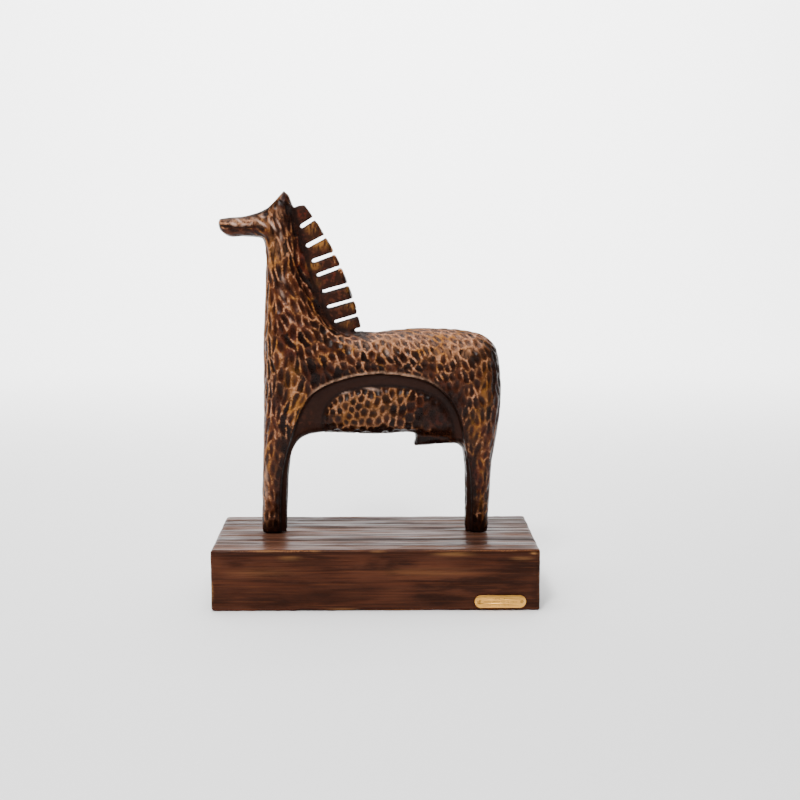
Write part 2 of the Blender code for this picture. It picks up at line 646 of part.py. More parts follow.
def build_pin(name, centre, collection):
    """A round-headed pin, turned about its length."""
    head_base = PLATE_THICKNESS + SEAT_GAP
    profile = [(0.0, head_base + PIN_HEAD_HEIGHT)]
    for step in range(1, PIN_HEAD_STEPS + 1):
        angle = math.pi / 2 * step / PIN_HEAD_STEPS
        profile.append((PIN_HEAD_RADIUS * math.sin(angle),
                        head_base + PIN_HEAD_HEIGHT * math.cos(angle)))
    profile += [(PIN_SHANK_RADIUS, head_base), (PIN_SHANK_RADIUS, PIN_SHANK_RADIUS - PIN_DEPTH),
                (0.0, -PIN_DEPTH)]
    mesh = bpy.data.meshes.new(name)
    mesh.from_pydata([(radius, 0.0, height) for radius, height in profile],
                     [(i, i + 1) for i in range(len(profile) - 1)], [])
    pin = bpy.data.objects.new(name, mesh)
    collection.objects.link(pin)
    pin.location = centre
    pin.rotation_euler = (math.pi / 2, 0.0, 0.0)
    screw = pin.modifiers.new("turned", "SCREW")
    screw.steps = PIN_STEPS
    screw.render_steps = PIN_STEPS
    screw.use_merge_vertices = True
    screw.merge_threshold = WELD_DISTANCE
    screw.use_smooth_shade = True
    return pin


def main():
    for item in list(bpy.data.objects):
        bpy.data.objects.remove(item)
    collection = bpy.data.collections.new("horse_figurine")
    cutters = bpy.data.collections.new("cutters")
    for group in (collection, cutters):
        bpy.context.scene.collection.children.link(group)

    holes = [pin_hole(name + "_hole", centre, cutters) for name, centre in pin_places()]
    plinth = build_plinth(collection, holes)
    plate = build_nameplate(collection, holes)
    pins = [build_pin(name, centre, collection) for name, centre in pin_places()]
    horse = carve_horse(collection, cutters)

    plinth.data.materials.append(surface("stained_plinth_wood", (0.10, 0.035, 0.016), 0.38))
    horse.data.materials.append(surface("carved_stained_wood", (0.16, 0.062, 0.022), 0.32))
    brass = surface("satin_brass", (0.76, 0.52, 0.24), 0.38, metallic=1.0)
    for item in (plate, *pins):
        item.data.materials.append(brass)


main()
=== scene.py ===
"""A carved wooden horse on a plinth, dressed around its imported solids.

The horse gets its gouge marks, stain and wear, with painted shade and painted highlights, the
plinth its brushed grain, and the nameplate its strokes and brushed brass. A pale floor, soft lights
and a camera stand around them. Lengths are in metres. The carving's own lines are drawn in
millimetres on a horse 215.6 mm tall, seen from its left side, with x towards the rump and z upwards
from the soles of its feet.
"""

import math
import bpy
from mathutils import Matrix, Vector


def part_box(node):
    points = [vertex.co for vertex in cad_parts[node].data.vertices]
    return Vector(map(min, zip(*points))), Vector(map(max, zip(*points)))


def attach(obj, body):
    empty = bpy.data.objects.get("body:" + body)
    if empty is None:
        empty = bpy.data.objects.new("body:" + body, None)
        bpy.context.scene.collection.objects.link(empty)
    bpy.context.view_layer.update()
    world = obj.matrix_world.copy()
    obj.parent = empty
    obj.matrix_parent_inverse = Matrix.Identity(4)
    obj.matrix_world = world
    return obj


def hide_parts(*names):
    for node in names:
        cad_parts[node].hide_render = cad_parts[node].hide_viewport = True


bl_info = {
    "name": "Carved Horse Figurine",
    "version": (1, 0, 0),
    "blender": (4, 5, 0),
    "location": "3D View > Sidebar > Carved Horse",
    "description": "Carves, stains and lights a wooden horse on its plinth",
    "category": "Object",
}

import bmesh
import bpy
import numpy as np
from bpy.props import FloatProperty, FloatVectorProperty, IntProperty, PointerProperty
from mathutils import Vector, kdtree, noise

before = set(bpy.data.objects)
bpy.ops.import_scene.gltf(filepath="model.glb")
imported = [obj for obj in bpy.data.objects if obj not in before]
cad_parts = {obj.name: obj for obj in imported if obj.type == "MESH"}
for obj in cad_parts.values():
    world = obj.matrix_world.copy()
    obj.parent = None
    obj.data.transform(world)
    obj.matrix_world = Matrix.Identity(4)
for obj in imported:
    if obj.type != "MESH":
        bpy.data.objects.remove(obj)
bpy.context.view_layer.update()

DRAWN_HEIGHT = 215.6
MILLIMETRES = 1000
# How fast patches and strokes of the finish fade past their reach
EDGE_FADE = 0.8
# Level at which a gouge mark's cut ends, where 1 is its rim
CUT_END = 1.12
# What a place of the horse's skin belongs to. The plain parts have no gouge marks.
BODY, BELLY, SHEATH, PLAIN = range(4)

# Edge of the hollow between the legs, and the edge of the belly in it
ARCH_LINE = (
    (-60.6, 0.0), (-60.2, 22.0), (-59.0, 38.0), (-55.6, 54.0), (-50.4, 69.5), (-45.6, 81.2),
    (-39.8, 89.4), (-31.8, 95.0), (-20.0, 99.4), (-8.0, 101.9), (4.0, 102.7), (17.3, 101.6),
    (30.5, 98.8), (39.4, 94.0), (46.0, 87.6), (51.0, 79.4), (54.4, 69.6), (57.2, 55.0),
    (60.2, 38.0), (61.0, 22.0), (60.9, 0.0),
)
BELLY_EDGE = (
    (-30.5, 60.0), (-33.0, 70.0), (-31.5, 79.5), (-25.0, 87.8), (-13.0, 92.4), (2.0, 94.4),
    (19.0, 93.6), (32.0, 90.6), (41.0, 85.0), (46.5, 77.0), (48.8, 68.0), (49.0, 56.0),
)
# Line where the neck meets the comb, and the comb's free edge, both from the ear to the back
COMB_ROOT = (
    (-51.0, 204.9), (-49.8, 198.5), (-47.0, 189.5), (-44.9, 181.5), (-42.8, 172.0), (-40.2, 163.0),
    (-37.2, 152.7), (-33.2, 143.0), (-27.6, 133.2), (-19.0, 127.4), (-8.2, 127.4),
)
COMB_EDGE = (
    (-51.0, 206.4), (-43.0, 209.0), (-34.5, 192.0), (-25.5, 172.5), (-16.0, 150.5), (-4.0, 127.4),
)
# Slots of the comb from their inner ends outwards, and the comb's outer rim
COMB_SLOTS = (
    ((-45.7, 193.6), (-36.6, 199.5)), ((-42.2, 181.5), (-30.3, 187.8)),
    ((-38.7, 172.0), (-24.8, 177.1)), ((-35.8, 163.2), (-20.6, 168.8)),
    ((-33.4, 152.7), (-16.2, 157.6)), ((-29.4, 143.4), (-12.7, 148.0)),
    ((-25.1, 134.1), (-9.7, 138.5)), ((-14.2, 128.2), (-7.0, 129.4)),
)
COMB_RIM = (
    (-51.0, 205.2), (-44.0, 207.0), (-31.8, 188.5), (-21.8, 169.1), (-13.9, 148.7), (-8.2, 127.4),
)
MOUTH_LINE = (
    (-98.5, 194.4), (-92.0, 193.5), (-88.0, 193.4), (-84.4, 192.7), (-80.5, 193.2), (-76.5, 193.0),
    (-71.5, 193.6),
)
EYE_PLACE = (-67.4, 201.2)
JAW_CORNER = (-70.5, 186.0)

# How the gouge was led: x, z, heading in degrees, half length and half width of a mark, its depth
OUTER_MARKS = (
    (-93, 196, 6, 5.0, 1.5, 0.22), (-84, 197, 10, 4.6, 1.5, 0.26), (-90, 190, 2, 5.0, 1.4, 0.20),
    (-80, 190, 6, 4.6, 1.5, 0.24), (-75, 198, 150, 3.4, 1.5, 0.30), (-69, 197, 125, 3.4, 1.3, 0.38),
    (-64, 203, 110, 2.8, 1.4, 0.25), (-59, 209, 100, 4.2, 1.5, 0.26),
    (-63, 190, 96, 6.0, 1.6, 0.42), (-54, 186, 98, 7.0, 1.6, 0.46), (-65, 172, 94, 6.8, 1.85, 0.55),
    (-55, 170, 100, 6.8, 1.85, 0.58), (-66, 150, 95, 6.8, 1.85, 0.60),
    (-54, 150, 110, 6.4, 2.05, 0.62), (-46, 152, 114, 5.8, 1.9, 0.58),
    (-66, 126, 93, 6.8, 1.9, 0.60), (-52, 128, 108, 5.8, 2.15, 0.62),
    (-38, 130, 120, 4.6, 2.2, 0.60), (-64, 102, 92, 6.6, 1.9, 0.58), (-50, 100, 84, 5.6, 2.0, 0.58),
    (-50, 84, 66, 6.0, 1.7, 0.50), (-36, 112, 116, 3.7, 2.3, 0.60), (-20, 118, 120, 3.5, 2.3, 0.60),
    (-6, 110, 112, 3.3, 2.3, 0.58), (8, 118, 118, 3.3, 2.1, 0.60), (24, 112, 114, 3.3, 2.3, 0.58),
    (24, 124, 134, 3.5, 1.55, 0.52), (44, 122, 132, 3.5, 1.6, 0.52), (44, 108, 110, 3.4, 2.2, 0.60),
    (58, 116, 114, 3.4, 2.1, 0.58), (70, 112, 106, 4.0, 1.8, 0.58), (60, 98, 100, 4.0, 2.0, 0.60),
    (74, 96, 96, 5.0, 1.7, 0.55), (58, 80, 82, 4.8, 1.8, 0.52), (70, 74, 88, 5.4, 1.7, 0.48),
    (64, 54, 88, 5.0, 1.6, 0.40), (66, 34, 90, 4.6, 1.5, 0.38), (66, 10, 90, 4.6, 1.5, 0.34),
    (-63, 70, 90, 6.4, 1.7, 0.50), (-64, 46, 90, 5.8, 1.6, 0.44), (-66, 22, 91, 4.8, 1.6, 0.40),
    (-66, 6, 92, 4.2, 1.6, 0.36),
)
BELLY_MARKS = (
    (-30, 72, 90, 2.4, 2.1, 0.55), (-16, 72, 88, 2.5, 2.2, 0.66), (-16, 86, 86, 2.9, 2.1, 0.60),
    (0, 84, 84, 3.5, 2.35, 0.70), (2, 70, 88, 2.8, 2.5, 0.70), (16, 82, 82, 3.8, 2.5, 0.66),
    (18, 70, 84, 3.0, 2.6, 0.55), (32, 78, 80, 3.6, 2.6, 0.34), (42, 76, 80, 4.2, 2.8, 0.20),
)
SHEATH_MARKS = ((30, 58, 2, 8.0, 1.7, 0.26), (48, 60, 174, 8.0, 1.8, 0.26))

# Patches of the finish: x, z, reach in x and in z, and strength
# The golden patches along the neck's and the front leg's front edges are painted light
GOLD_AND_LIT_PATCHES = (
    (-48, 81, 4, 9, 1.0), (-52, 98, 5, 10, 0.4), (69, 90, 3.5, 13, 0.7), (62, 70, 4, 10, 0.45),
    (68, 106, 3, 7, 0.4), (67, 46, 3, 10, 0.3), (8, 121, 9, 4, 0.4), (42, 118, 16, 6, 0.3),
    (-65, 176, 4, 12, 0.5), (-67, 132, 3.5, 20, 0.5), (-69, 46, 2, 12, 0.5),
    (-39, 193, 4.0, 3.4, 0.6), (-33, 183, 6, 3.0, 1.0), (-39, 169.5, 4.0, 2.6, 0.8),
    (-36, 160, 3, 4, 0.25), (-15.5, 154.5, 2.6, 2.6, 0.8), (-16, 144, 4, 2.2, 0.6),
    (-18, 133, 3.4, 2.2, 0.45), (-63, 205, 3, 3, 0.3), (-10, 80, 16, 10, 0.42),
    (10, 88, 12, 5, 0.28), (69, 12, 2, 12, 0.35),
)
# Dark stain together with painted shade: the patches in the dip behind the comb, on the haunch's
# rear edge, along the legs' inner edges and under the belly are painted shade
DARK_STAIN_AND_SHADE_PATCHES = (
    (-52, 201, 3.5, 10, 0.8), (-8, 126.8, 6, 3, 1.0), (44, 82, 12, 14, 0.9),
    (-57.5, 60, 2.6, 12, 0.5), (73, 118, 8, 6, 0.65), (79.5, 96, 4.5, 26, 0.85),
    (-32, 102, 9, 6, 0.4), (-20, 104, 12, 4, 0.25), (-66, 3, 8, 6, 0.9), (66, 3, 8, 6, 0.9),
    (-61, 30, 3, 26, 0.75), (61, 30, 3, 26, 0.8), (68, 24, 12, 22, 0.3), (24, 62, 8, 5, 0.6),
    (-64, 188, 4, 3, 0.5), (-66.9, 201.2, 2.0, 1.3, 1.0), (62.5, 113, 3.4, 3.4, 1.15),
    (-60, 90, 4, 9, 0.5), (74, 104, 4, 14, 0.6), (27, 72, 7, 5, 0.9), (60, 60, 3, 12, 0.5),
    (64, 102, 5, 6, 0.45), (72, 72, 4, 12, 0.5), (56, 92, 4, 9, 0.35), (-56, 208, 3.6, 6, 0.65),
    (0, 64.6, 34, 3.6, 0.8), (-4, 76, 32, 12, 0.36), (-55, 197, 3, 6, 0.4),
)
# Patches where the ridges are worn bare, and where they kept their stain
# The bare ones along the neck's and the front leg's front edges and on the top of the back are worn
# ridges together with painted light
WORN_AND_LIT_PATCHES = (
    (-69, 150, 5, 60, 0.5), (-68, 60, 5, 34, 0.45), (-66, 104, 6, 20, 0.3), (66, 40, 7, 30, 0.25),
    (-50, 150, 8, 14, 0.15), (-50, 84, 5, 16, 0.55), (36, 121, 38, 8, 0.75), (-8, 80, 24, 12, 0.62),
    (-84, 197, 18, 3, 0.4), (-22, 112, 16, 6, 0.25), (-54, 176, 7, 16, 0.30), (10, 116, 12, 6, 0.3),
)
# The stained ones on the lower jaw, on the haunch's rear edge and under the belly are painted shade
UNWORN_AND_SHADED_PATCHES = (
    (-86, 189, 14, 3.5, 0.9), (-34, 102, 12, 7, 0.55), (78, 98, 6, 30, 0.7),
    (-45.4, 170, 3.4, 26, 0.45), (66, 42, 12, 32, 0.52), (-65, 46, 10, 30, 0.22),
    (40, 80, 14, 15, 1.0), (-30, 68, 8, 6, 0.6), (6, 106, 16, 3, 0.3), (-70, 190, 6, 5, 0.5),
    (30, 60, 24, 4, 0.8), (6, 65, 36, 3, 0.6), (-64, 206, 5, 4, 0.6), (-44, 112, 8, 7, 0.35),
    (72, 119, 8, 7, 0.5),
)
# Tan patches, with painted light on the upper snout, along the neck's and the front leg's front
# edges and on the top of the back
TAN_AND_LIT_PATCHES = (
    (-84, 197.0, 15, 2.8, 0.9), (-59.6, 202.2, 2.2, 3.0, 0.85), (-70, 196.5, 5, 3, 0.6),
    (-71, 110, 2.5, 60, 0.3), (-71, 30, 3, 30, 0.4), (34, 124, 42, 6, 0.45),
    (-10.6, 119.3, 6, 2.6, 0.9), (-59.5, 178, 3.4, 7, 0.55), (50, 118, 16, 6, 0.5),
)
# Patches where thin stain lets the dishes show warm, and strokes worn down to gold
WARM_PATCHES = (
    (-66, 46, 7, 32, 0.85), (66, 62, 6, 14, 0.6), (68, 28, 4, 14, 0.4), (-63, 98, 7, 12, 0.2),
    (42, 108, 12, 8, 0.2), (-62, 124, 8, 18, 0.35), (66, 44, 8, 20, 0.4), (-88, 190, 9, 3, 0.9),
    (-56, 128, 6, 10, 0.2), (34, 122, 30, 5, 0.4),
)
GOLD_STROKES = (
    (-47.6, 80.0, 64, 8.0, 1.6, 1.0), (65.0, 76.0, 104, 5.0, 1.2, 0.8),
    (67.6, 92.0, 96, 6.0, 1.4, 0.8), (66.8, 40.2, 20, 1.8, 1.0, 0.9),
    (66.6, 20.0, 92, 6.0, 0.9, 0.8), (64.6, 66.0, 90, 3.0, 1.1, 0.5),
    (-64.0, 118.0, 84, 8.0, 0.8, 0.5), (-58.4, 112.0, 76, 7.0, 0.8, 0.5),
)
RED_PATCHES = (
    (-43.8, 201.4, 4, 4, 1.0), (-30, 163.3, 8, 3, 0.8), (-12.5, 134.2, 3.5, 2.5, 1.0),
    (65, 68, 5, 5, 0.7), (-52, 119, 6, 6, 0.5), (-70, 191, 5, 2.5, 0.6), (37, 73, 5, 3, 0.6),
    (-58, 150, 8, 30, 0.3), (66, 40, 8, 16, 0.5), (-47, 176, 6, 20, 0.6), (-56, 208, 4, 7, 0.8),
    (72, 88, 6, 20, 0.4),
)
# Single strokes of the finish: x, z, heading in degrees, half length and half width, and strength
# The pale strokes are painted highlights on facets of the cheek, the snout, the neck, the belly,
# the flank and the front leg's front edge
HIGHLIGHT_STROKES = (
    (-69.9, 195.5, 145, 3.2, 0.62, 0.95), (-63.4, 194.6, 122, 3.4, 0.62, 1.0),
    (-59.6, 195.8, 118, 2.8, 0.50, 0.55), (-69.6, 199.4, 162, 1.7, 0.45, 0.55),
    (-87.5, 194.9, 165, 1.8, 0.70, 0.95), (-84.0, 196.8, 150, 2.4, 0.42, 0.7),
    (-81.3, 194.6, 10, 1.8, 0.55, 0.75), (-76.7, 195.3, 40, 1.6, 0.45, 0.6),
    (-19.8, 90.3, 8, 3.4, 0.9, 0.5), (-2.0, 92.6, 172, 4.2, 0.8, 0.45),
    (7.5, 115.7, 120, 2.0, 0.9, 0.5), (-68.4, 38.0, 92, 5.0, 0.9, 0.30),
    (-68.6, 27.0, 92, 4.0, 0.9, 0.30), (-57.6, 152.4, 116, 2.6, 0.9, 0.40),
    (-56.8, 161.0, 114, 2.4, 0.7, 0.36), (-58.1, 187.2, 92, 2.8, 0.7, 0.36),
    (-52.4, 136.5, 110, 1.4, 0.6, 0.34),
)
# Dark stain together with painted shade: the dark strokes in the mouth's line and between the
# cheek's facets are painted shade
DARK_STAIN_AND_SHADE_STROKES = (
    (-67.9, 197.6, 125, 2.2, 0.75, 0.95), (-62.0, 196.8, 116, 2.8, 0.62, 0.95),
    (-92.3, 193.7, 174, 3.6, 0.75, 0.9), (-84.4, 192.8, 90, 1.2, 1.2, 1.0),
    (-77.0, 193.1, 8, 3.4, 0.75, 0.9), (-72.3, 193.6, 4, 2.8, 0.9, 0.9),
    (-73.8, 198.6, 130, 1.6, 0.4, 0.4), (-57.0, 186.0, 95, 8.0, 0.7, 0.6),
    (-50.6, 181.0, 96, 14.0, 0.7, 0.6), (-94.5, 198.4, 10, 2.4, 0.5, 0.5),
)

# Where handling wore the plinth's front face, in millimetres: x, z, reach in x and in z, strength
FRONT_RUBS = (
    (96.0, 35.8, 1.8, 0.8, 0.8), (89.0, 32.4, 6.0, 1.2, 0.35), (-99.7, 12.0, 0.9, 5.5, 0.7),
    (1.0, 37.1, 4.0, 0.6, 0.4), (-37.0, 37.3, 3.0, 0.5, 0.3), (48.0, 35.2, 11.0, 1.2, 0.35),
    (-66.0, 37.3, 8.0, 0.5, 0.3), (-20.0, 1.2, 8.0, 0.7, 0.3), (70.0, 1.2, 5.0, 0.7, 0.25),
    (-52.0, 33.0, 6.0, 1.4, 0.25), (34.0, 24.0, 26.0, 2.4, 0.12), (-70.0, 24.0, 18.0, 2.4, 0.10),
)
# Where the front face kept its darkest stain, in the same way
FRONT_STAINS = (
    (-39.0, 33.0, 13, 4.5, 0.9), (-23.0, 10.0, 26, 5.5, 0.8), (19.0, 35.2, 19, 4, 0.85),
    (90.0, 25.0, 11, 8, 0.75), (32.0, 6.5, 30, 4.5, 0.65), (98.0, 18.0, 3.5, 17, 0.8),
    (-84.0, 36.0, 12, 2.4, 0.5), (-70.0, 9.0, 14, 4, 0.35), (66.0, 19.0, 10, 3, 0.35),
)
# Long furrows in the plinth's top: y in millimetres, and how deep each one is
TOP_FURROWS = (
    (-37.5, 0.8), (-29.0, 0.45), (-21.5, 1.0), (-9.0, 0.6), (2.5, 0.5), (12.5, 1.0), (24.0, 0.7),
    (35.5, 1.0), (44.0, 0.5),
)
# Cuts of the plinth's lattice across x, y and z, and how deep its front face reaches, in metres
PLINTH_CUTS = (84, 170, 66)
FRONT_REACH = 0.0016

# The nameplate's rows of strokes, in metres: height above its middle, half length, stroke height
STROKE_ROWS = ((0.0018, 0.0030, 0.00085), (-0.0003, 0.0100, 0.0012), (-0.0022, 0.0062, 0.0008))
# From stroke to stroke, and how much of each end of the plate stays free of them
STROKE_STEP, PLATE_END = 0.00078, 0.004
# How far from the plate's middle a face can be part of a stroke, along x and z
STROKES_REACH = (0.0115, 0.0032)

# Soft lights, in metres: name, place, the point it is turned to, width and length
LIGHTS = (
    ("overhead_light", (-0.1, 0.05, 0.95), (0.0, 0.0, 0.1), (0.9, 0.6)),
    ("key_light", (-0.28, -0.95, 1.05), (0.0, 0.0, 0.13), (0.20, 0.20)),
    ("wall_light", (0.0, 1.1, 1.3), (0.0, 2.0, 0.35), (2.4, 0.3)),
)
# The camera's place in metres, and how far it looks down and turns aside in degrees
CAMERA_PLACE = (0.00112, -0.92621, 0.24349)
CAMERA_DOWN, CAMERA_ASIDE = 7.413, -0.895
SENSOR_WIDTH = 36.0


def color_setting(name, default, description):
    """A colour that the sidebar offers."""
    return FloatVectorProperty(name=name, default=default, description=description, size=3,
                               subtype="COLOR", min=0.0, max=1.0)


def number_setting(name, default, description, unit="NONE", smallest=0.0, **more):
    """A number that the sidebar offers."""
    return FloatProperty(name=name, default=default, description=description, unit=unit,
                         min=smallest, **more)


class CarvingSettings(bpy.types.PropertyGroup):
    """Sizes and colours of the carved horse's surface."""
    kept_facets: number_setting("Kept facets", 0.81, "Share of the skin's facets kept, the "
                                "flattest going first", smallest=0.1, max=1.0)
    skin_spacing: number_setting("Skin spacing", 0.00084, "Distance between the points of the "
                                 "carved surface", "LENGTH", 0.0003)
    soften_rounds: IntProperty(name="Softening", default=9, min=0,
                               description="How often the facets are evened out before carving")
    mark_spacing: number_setting("Mark spacing", 1.66, "Closest that two gouge marks come, in half "
                                 "marks", smallest=0.5)
    mark_depth: number_setting("Mark depth", 1.0, "Depth of the gouge marks as a share of what "
                               "each has")
    proud: number_setting("Ridge height", 0.0004, "How far the ridges stand out, so that the marks "
                          "take as much as the ridges add", "LENGTH")
    random_seed: IntProperty(name="Random seed", default=11,
                             description="Number that settles where each mark falls")
    # The dark dish colour is also the colour of the painted shade laid over the horse
    dish_dark_and_shade: color_setting("Dark dish", (0.0050, 0.0014, 0.0007), "Stain where it pooled deepest")
    dish_warm: color_setting("Warm dish", (0.066, 0.0185, 0.0075), "Stain where it is thin")
    dish_red: color_setting("Red dish", (0.072, 0.0105, 0.0050), "Stain where its red shows most")
    slope_amber: color_setting("Amber slope", (0.150, 0.052, 0.0130),
                               "Thin stain on the way up to a ridge")
    # Colour of the painted highlights on facets of the cheek, the snout, the neck and the belly
    painted_highlight_color: color_setting("Pale facet", (0.56, 0.36, 0.27),
                              "Wood rubbed palest, on the cheek and the snout")
    ridge_tan: color_setting("Tan ridge", (0.45, 0.210, 0.112),
                             "Bare wood on the ridges between the marks")
    ridge_gold: color_setting("Golden ridge", (0.32, 0.125, 0.022),
                              "Lacquered wood where the stain is worn away")
    smooth_dark: color_setting("Smooth band", (0.021, 0.0064, 0.0032),
                               "Stain on the smooth cut surfaces")


class PlinthSettings(bpy.types.PropertyGroup):
    """Sizes and colours of the plinth's surface."""
    edge_round: number_setting("Edge round", 0.0020, "Radius of the softened edges", "LENGTH",
                               0.0005)
    grain_depth: number_setting("Grain depth", 0.00026, "Depth of the brushed grain", "LENGTH")
    wood_red: color_setting("Red-brown", (0.057, 0.0166, 0.0078), "Stained wood")
    wood_dark: color_setting("Dark grain", (0.019, 0.0062, 0.0034), "Stain in the grain's hollows")
    wood_worn: color_setting("Worn edge", (0.22, 0.085, 0.030),
                             "Wood where handling wore the stain")


class PlateSettings(bpy.types.PropertyGroup):
    """Sizes and colours of the nameplate."""
    stroke_width: number_setting("Stroke width", 0.00024, "Width of an engraved stroke", "LENGTH",
                                 0.0001)
    stroke_depth: number_setting("Stroke depth", 0.00007, "Depth of an engraved stroke", "LENGTH",
                                 0.00002)
    brass_color: color_setting("Brass", (0.80, 0.405, 0.088), "Brushed brass")


class StageSettings(bpy.types.PropertyGroup):
    """Camera, lights and floor."""
    focal_length: number_setting("Focal length", 66.59, "Focal length in millimetres on a 36 mm "
                                 "sensor", smallest=1.0)
    overhead_power: number_setting("Overhead light", 14.0, "Power of the soft light above", "POWER")
    key_power: number_setting("Key light", 18.0, "Power of the soft light above the camera",
                              "POWER")
    wall_power: number_setting("Wall light", 122.0, "Power of the light on the backdrop", "POWER")
    sky_strength: number_setting("Room light", 0.46, "Strength of the even light from behind and "
                                 "the sides")
    front_strength: number_setting("Front light", 0.24, "Strength of the even light from the front")


def eased(value, start, end):
    """Rises smoothly from 0 at start to 1 at end."""
    share = np.clip((value - start) / (end - start), 0.0, 1.0)
    return share * share * (3 - 2 * share)


def smooth_line(points, spacing=1.5):
    """Points along a smooth curve through those given."""
    knots = np.array(points, dtype=float)
    padded = np.vstack([2 * knots[0] - knots[1], knots, 2 * knots[-1] - knots[-2]])
    line = [knots[0]]
    for index in range(len(knots) - 1):
        a, b, c, d = padded[index:index + 4]
        steps = max(1, round(float(np.linalg.norm(c - b)) / spacing))
        for step in range(1, steps + 1):
            t = step / steps
            line.append(0.5 * (2 * b + (c - a) * t + (2 * a - 5 * b + 4 * c - d) * t ** 2
                               + (3 * b - a - 3 * c + d) * t ** 3))
    return np.array(line)


def distance_to(points, line):
    """Distance from each flat point to a line of points."""
    best = np.full(len(points), np.inf)
    for start, end in zip(line[:-1], line[1:]):
        span = end - start
        offset = points - start
        share = np.clip(offset @ span / max(span @ span, 1e-12), 0.0, 1.0)
        best = np.minimum(best, np.linalg.norm(offset - share[:, None] * span, axis=1))
    return best


def within(points, outline):
    """True for each flat point inside a closed outline."""
    result = np.zeros(len(points), dtype=bool)
    x, z = points.T
    for (x0, z0), (x1, z1) in zip(outline, np.roll(outline, -1, axis=0)):
        if z0 != z1:
            crossing = x0 + (z - z0) * (x1 - x0) / (z1 - z0)
            result ^= ((z0 > z) != (z1 > z)) & (x < crossing)
    return result


def strokes_at(points, strokes):
    """Strongest of several soft-edged slanting strokes at each flat point."""
    strength = np.zeros(len(points))
    for x, z, heading, length, width, amount in strokes:
        ahead = np.array((math.cos(math.radians(heading)), math.sin(math.radians(heading))))
        offset = points - np.array((x, z))
        along = offset @ ahead / length
        across = (offset[:, 0] * ahead[1] - offset[:, 1] * ahead[0]) / width
        faded = np.exp(-(along ** 2 + across ** 2) ** 1.5 * EDGE_FADE)
        strength = np.maximum(strength, amount * faded)
    return strength


def patches_at(points, patches):
    """Strongest of several soft-edged patches at each flat point, none of them slanting."""
    return strokes_at(points, [(x, z, 0, *rest) for x, z, *rest in patches])


def wavy(places, scale, seed):
    """Smooth noise from -1 to 1 at places given in millimetres."""
    shift = Vector((seed * 17.3, seed * 5.1, seed * 9.7))
    return np.array([noise.noise(Vector(place) * scale + shift) for place in places])


def deselect_all():
    bpy.ops.object.select_all(action="DESELECT")


def make_active(piece):
    deselect_all()
    piece.select_set(True)
    bpy.context.view_layer.objects.active = piece


def apply_modifier(piece, modifier):
    make_active(piece)
    bpy.ops.object.modifier_apply(modifier=modifier.name)


def copy_of_solid(node, name):
    """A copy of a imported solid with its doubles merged, to be worked on."""
    piece = bpy.data.objects.new(name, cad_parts[node].data.copy())
    piece.data.name = name
    piece.data.materials.clear()
    bpy.context.scene.collection.objects.link(piece)
    make_active(piece)
    bpy.ops.object.mode_set(mode="EDIT")
    bpy.ops.mesh.select_all(action="SELECT")
    bpy.ops.mesh.remove_doubles(threshold=0.000005)
    bpy.ops.object.mode_set(mode="OBJECT")
    return piece


def read(mesh, what):
    """The place (co) or the normal of each vertex, as rows of three numbers."""
    values = np.empty(len(mesh.vertices) * 3, dtype=np.float64)
    mesh.vertices.foreach_get(what, values)
    return values.reshape(-1, 3)


def finish_piece(piece, material, node):
    """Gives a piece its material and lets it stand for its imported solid."""
    piece.data.materials.append(material)
    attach(piece, "root")
    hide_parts(node)


class Drawing:
    """The horse in its own millimetres: x to the rump, y from the middle plane, z from its feet."""

    def __init__(self):
        low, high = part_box("horse")
        self.unit = (high.z - low.z) / DRAWN_HEIGHT
        self.foot = np.array((0.0, (low.y + high.y) / 2, low.z))
        self.arch = smooth_line(ARCH_LINE)
        self.belly = smooth_line(BELLY_EDGE)
        self.root = smooth_line(COMB_ROOT)
        self.comb = np.vstack([smooth_line(COMB_EDGE), self.root[::-1]])
        self.mouth = smooth_line(MOUTH_LINE)

    def drawn(self, places):
        return (places - self.foot) / self.unit

    def world(self, places):
        return places * self.unit + self.foot


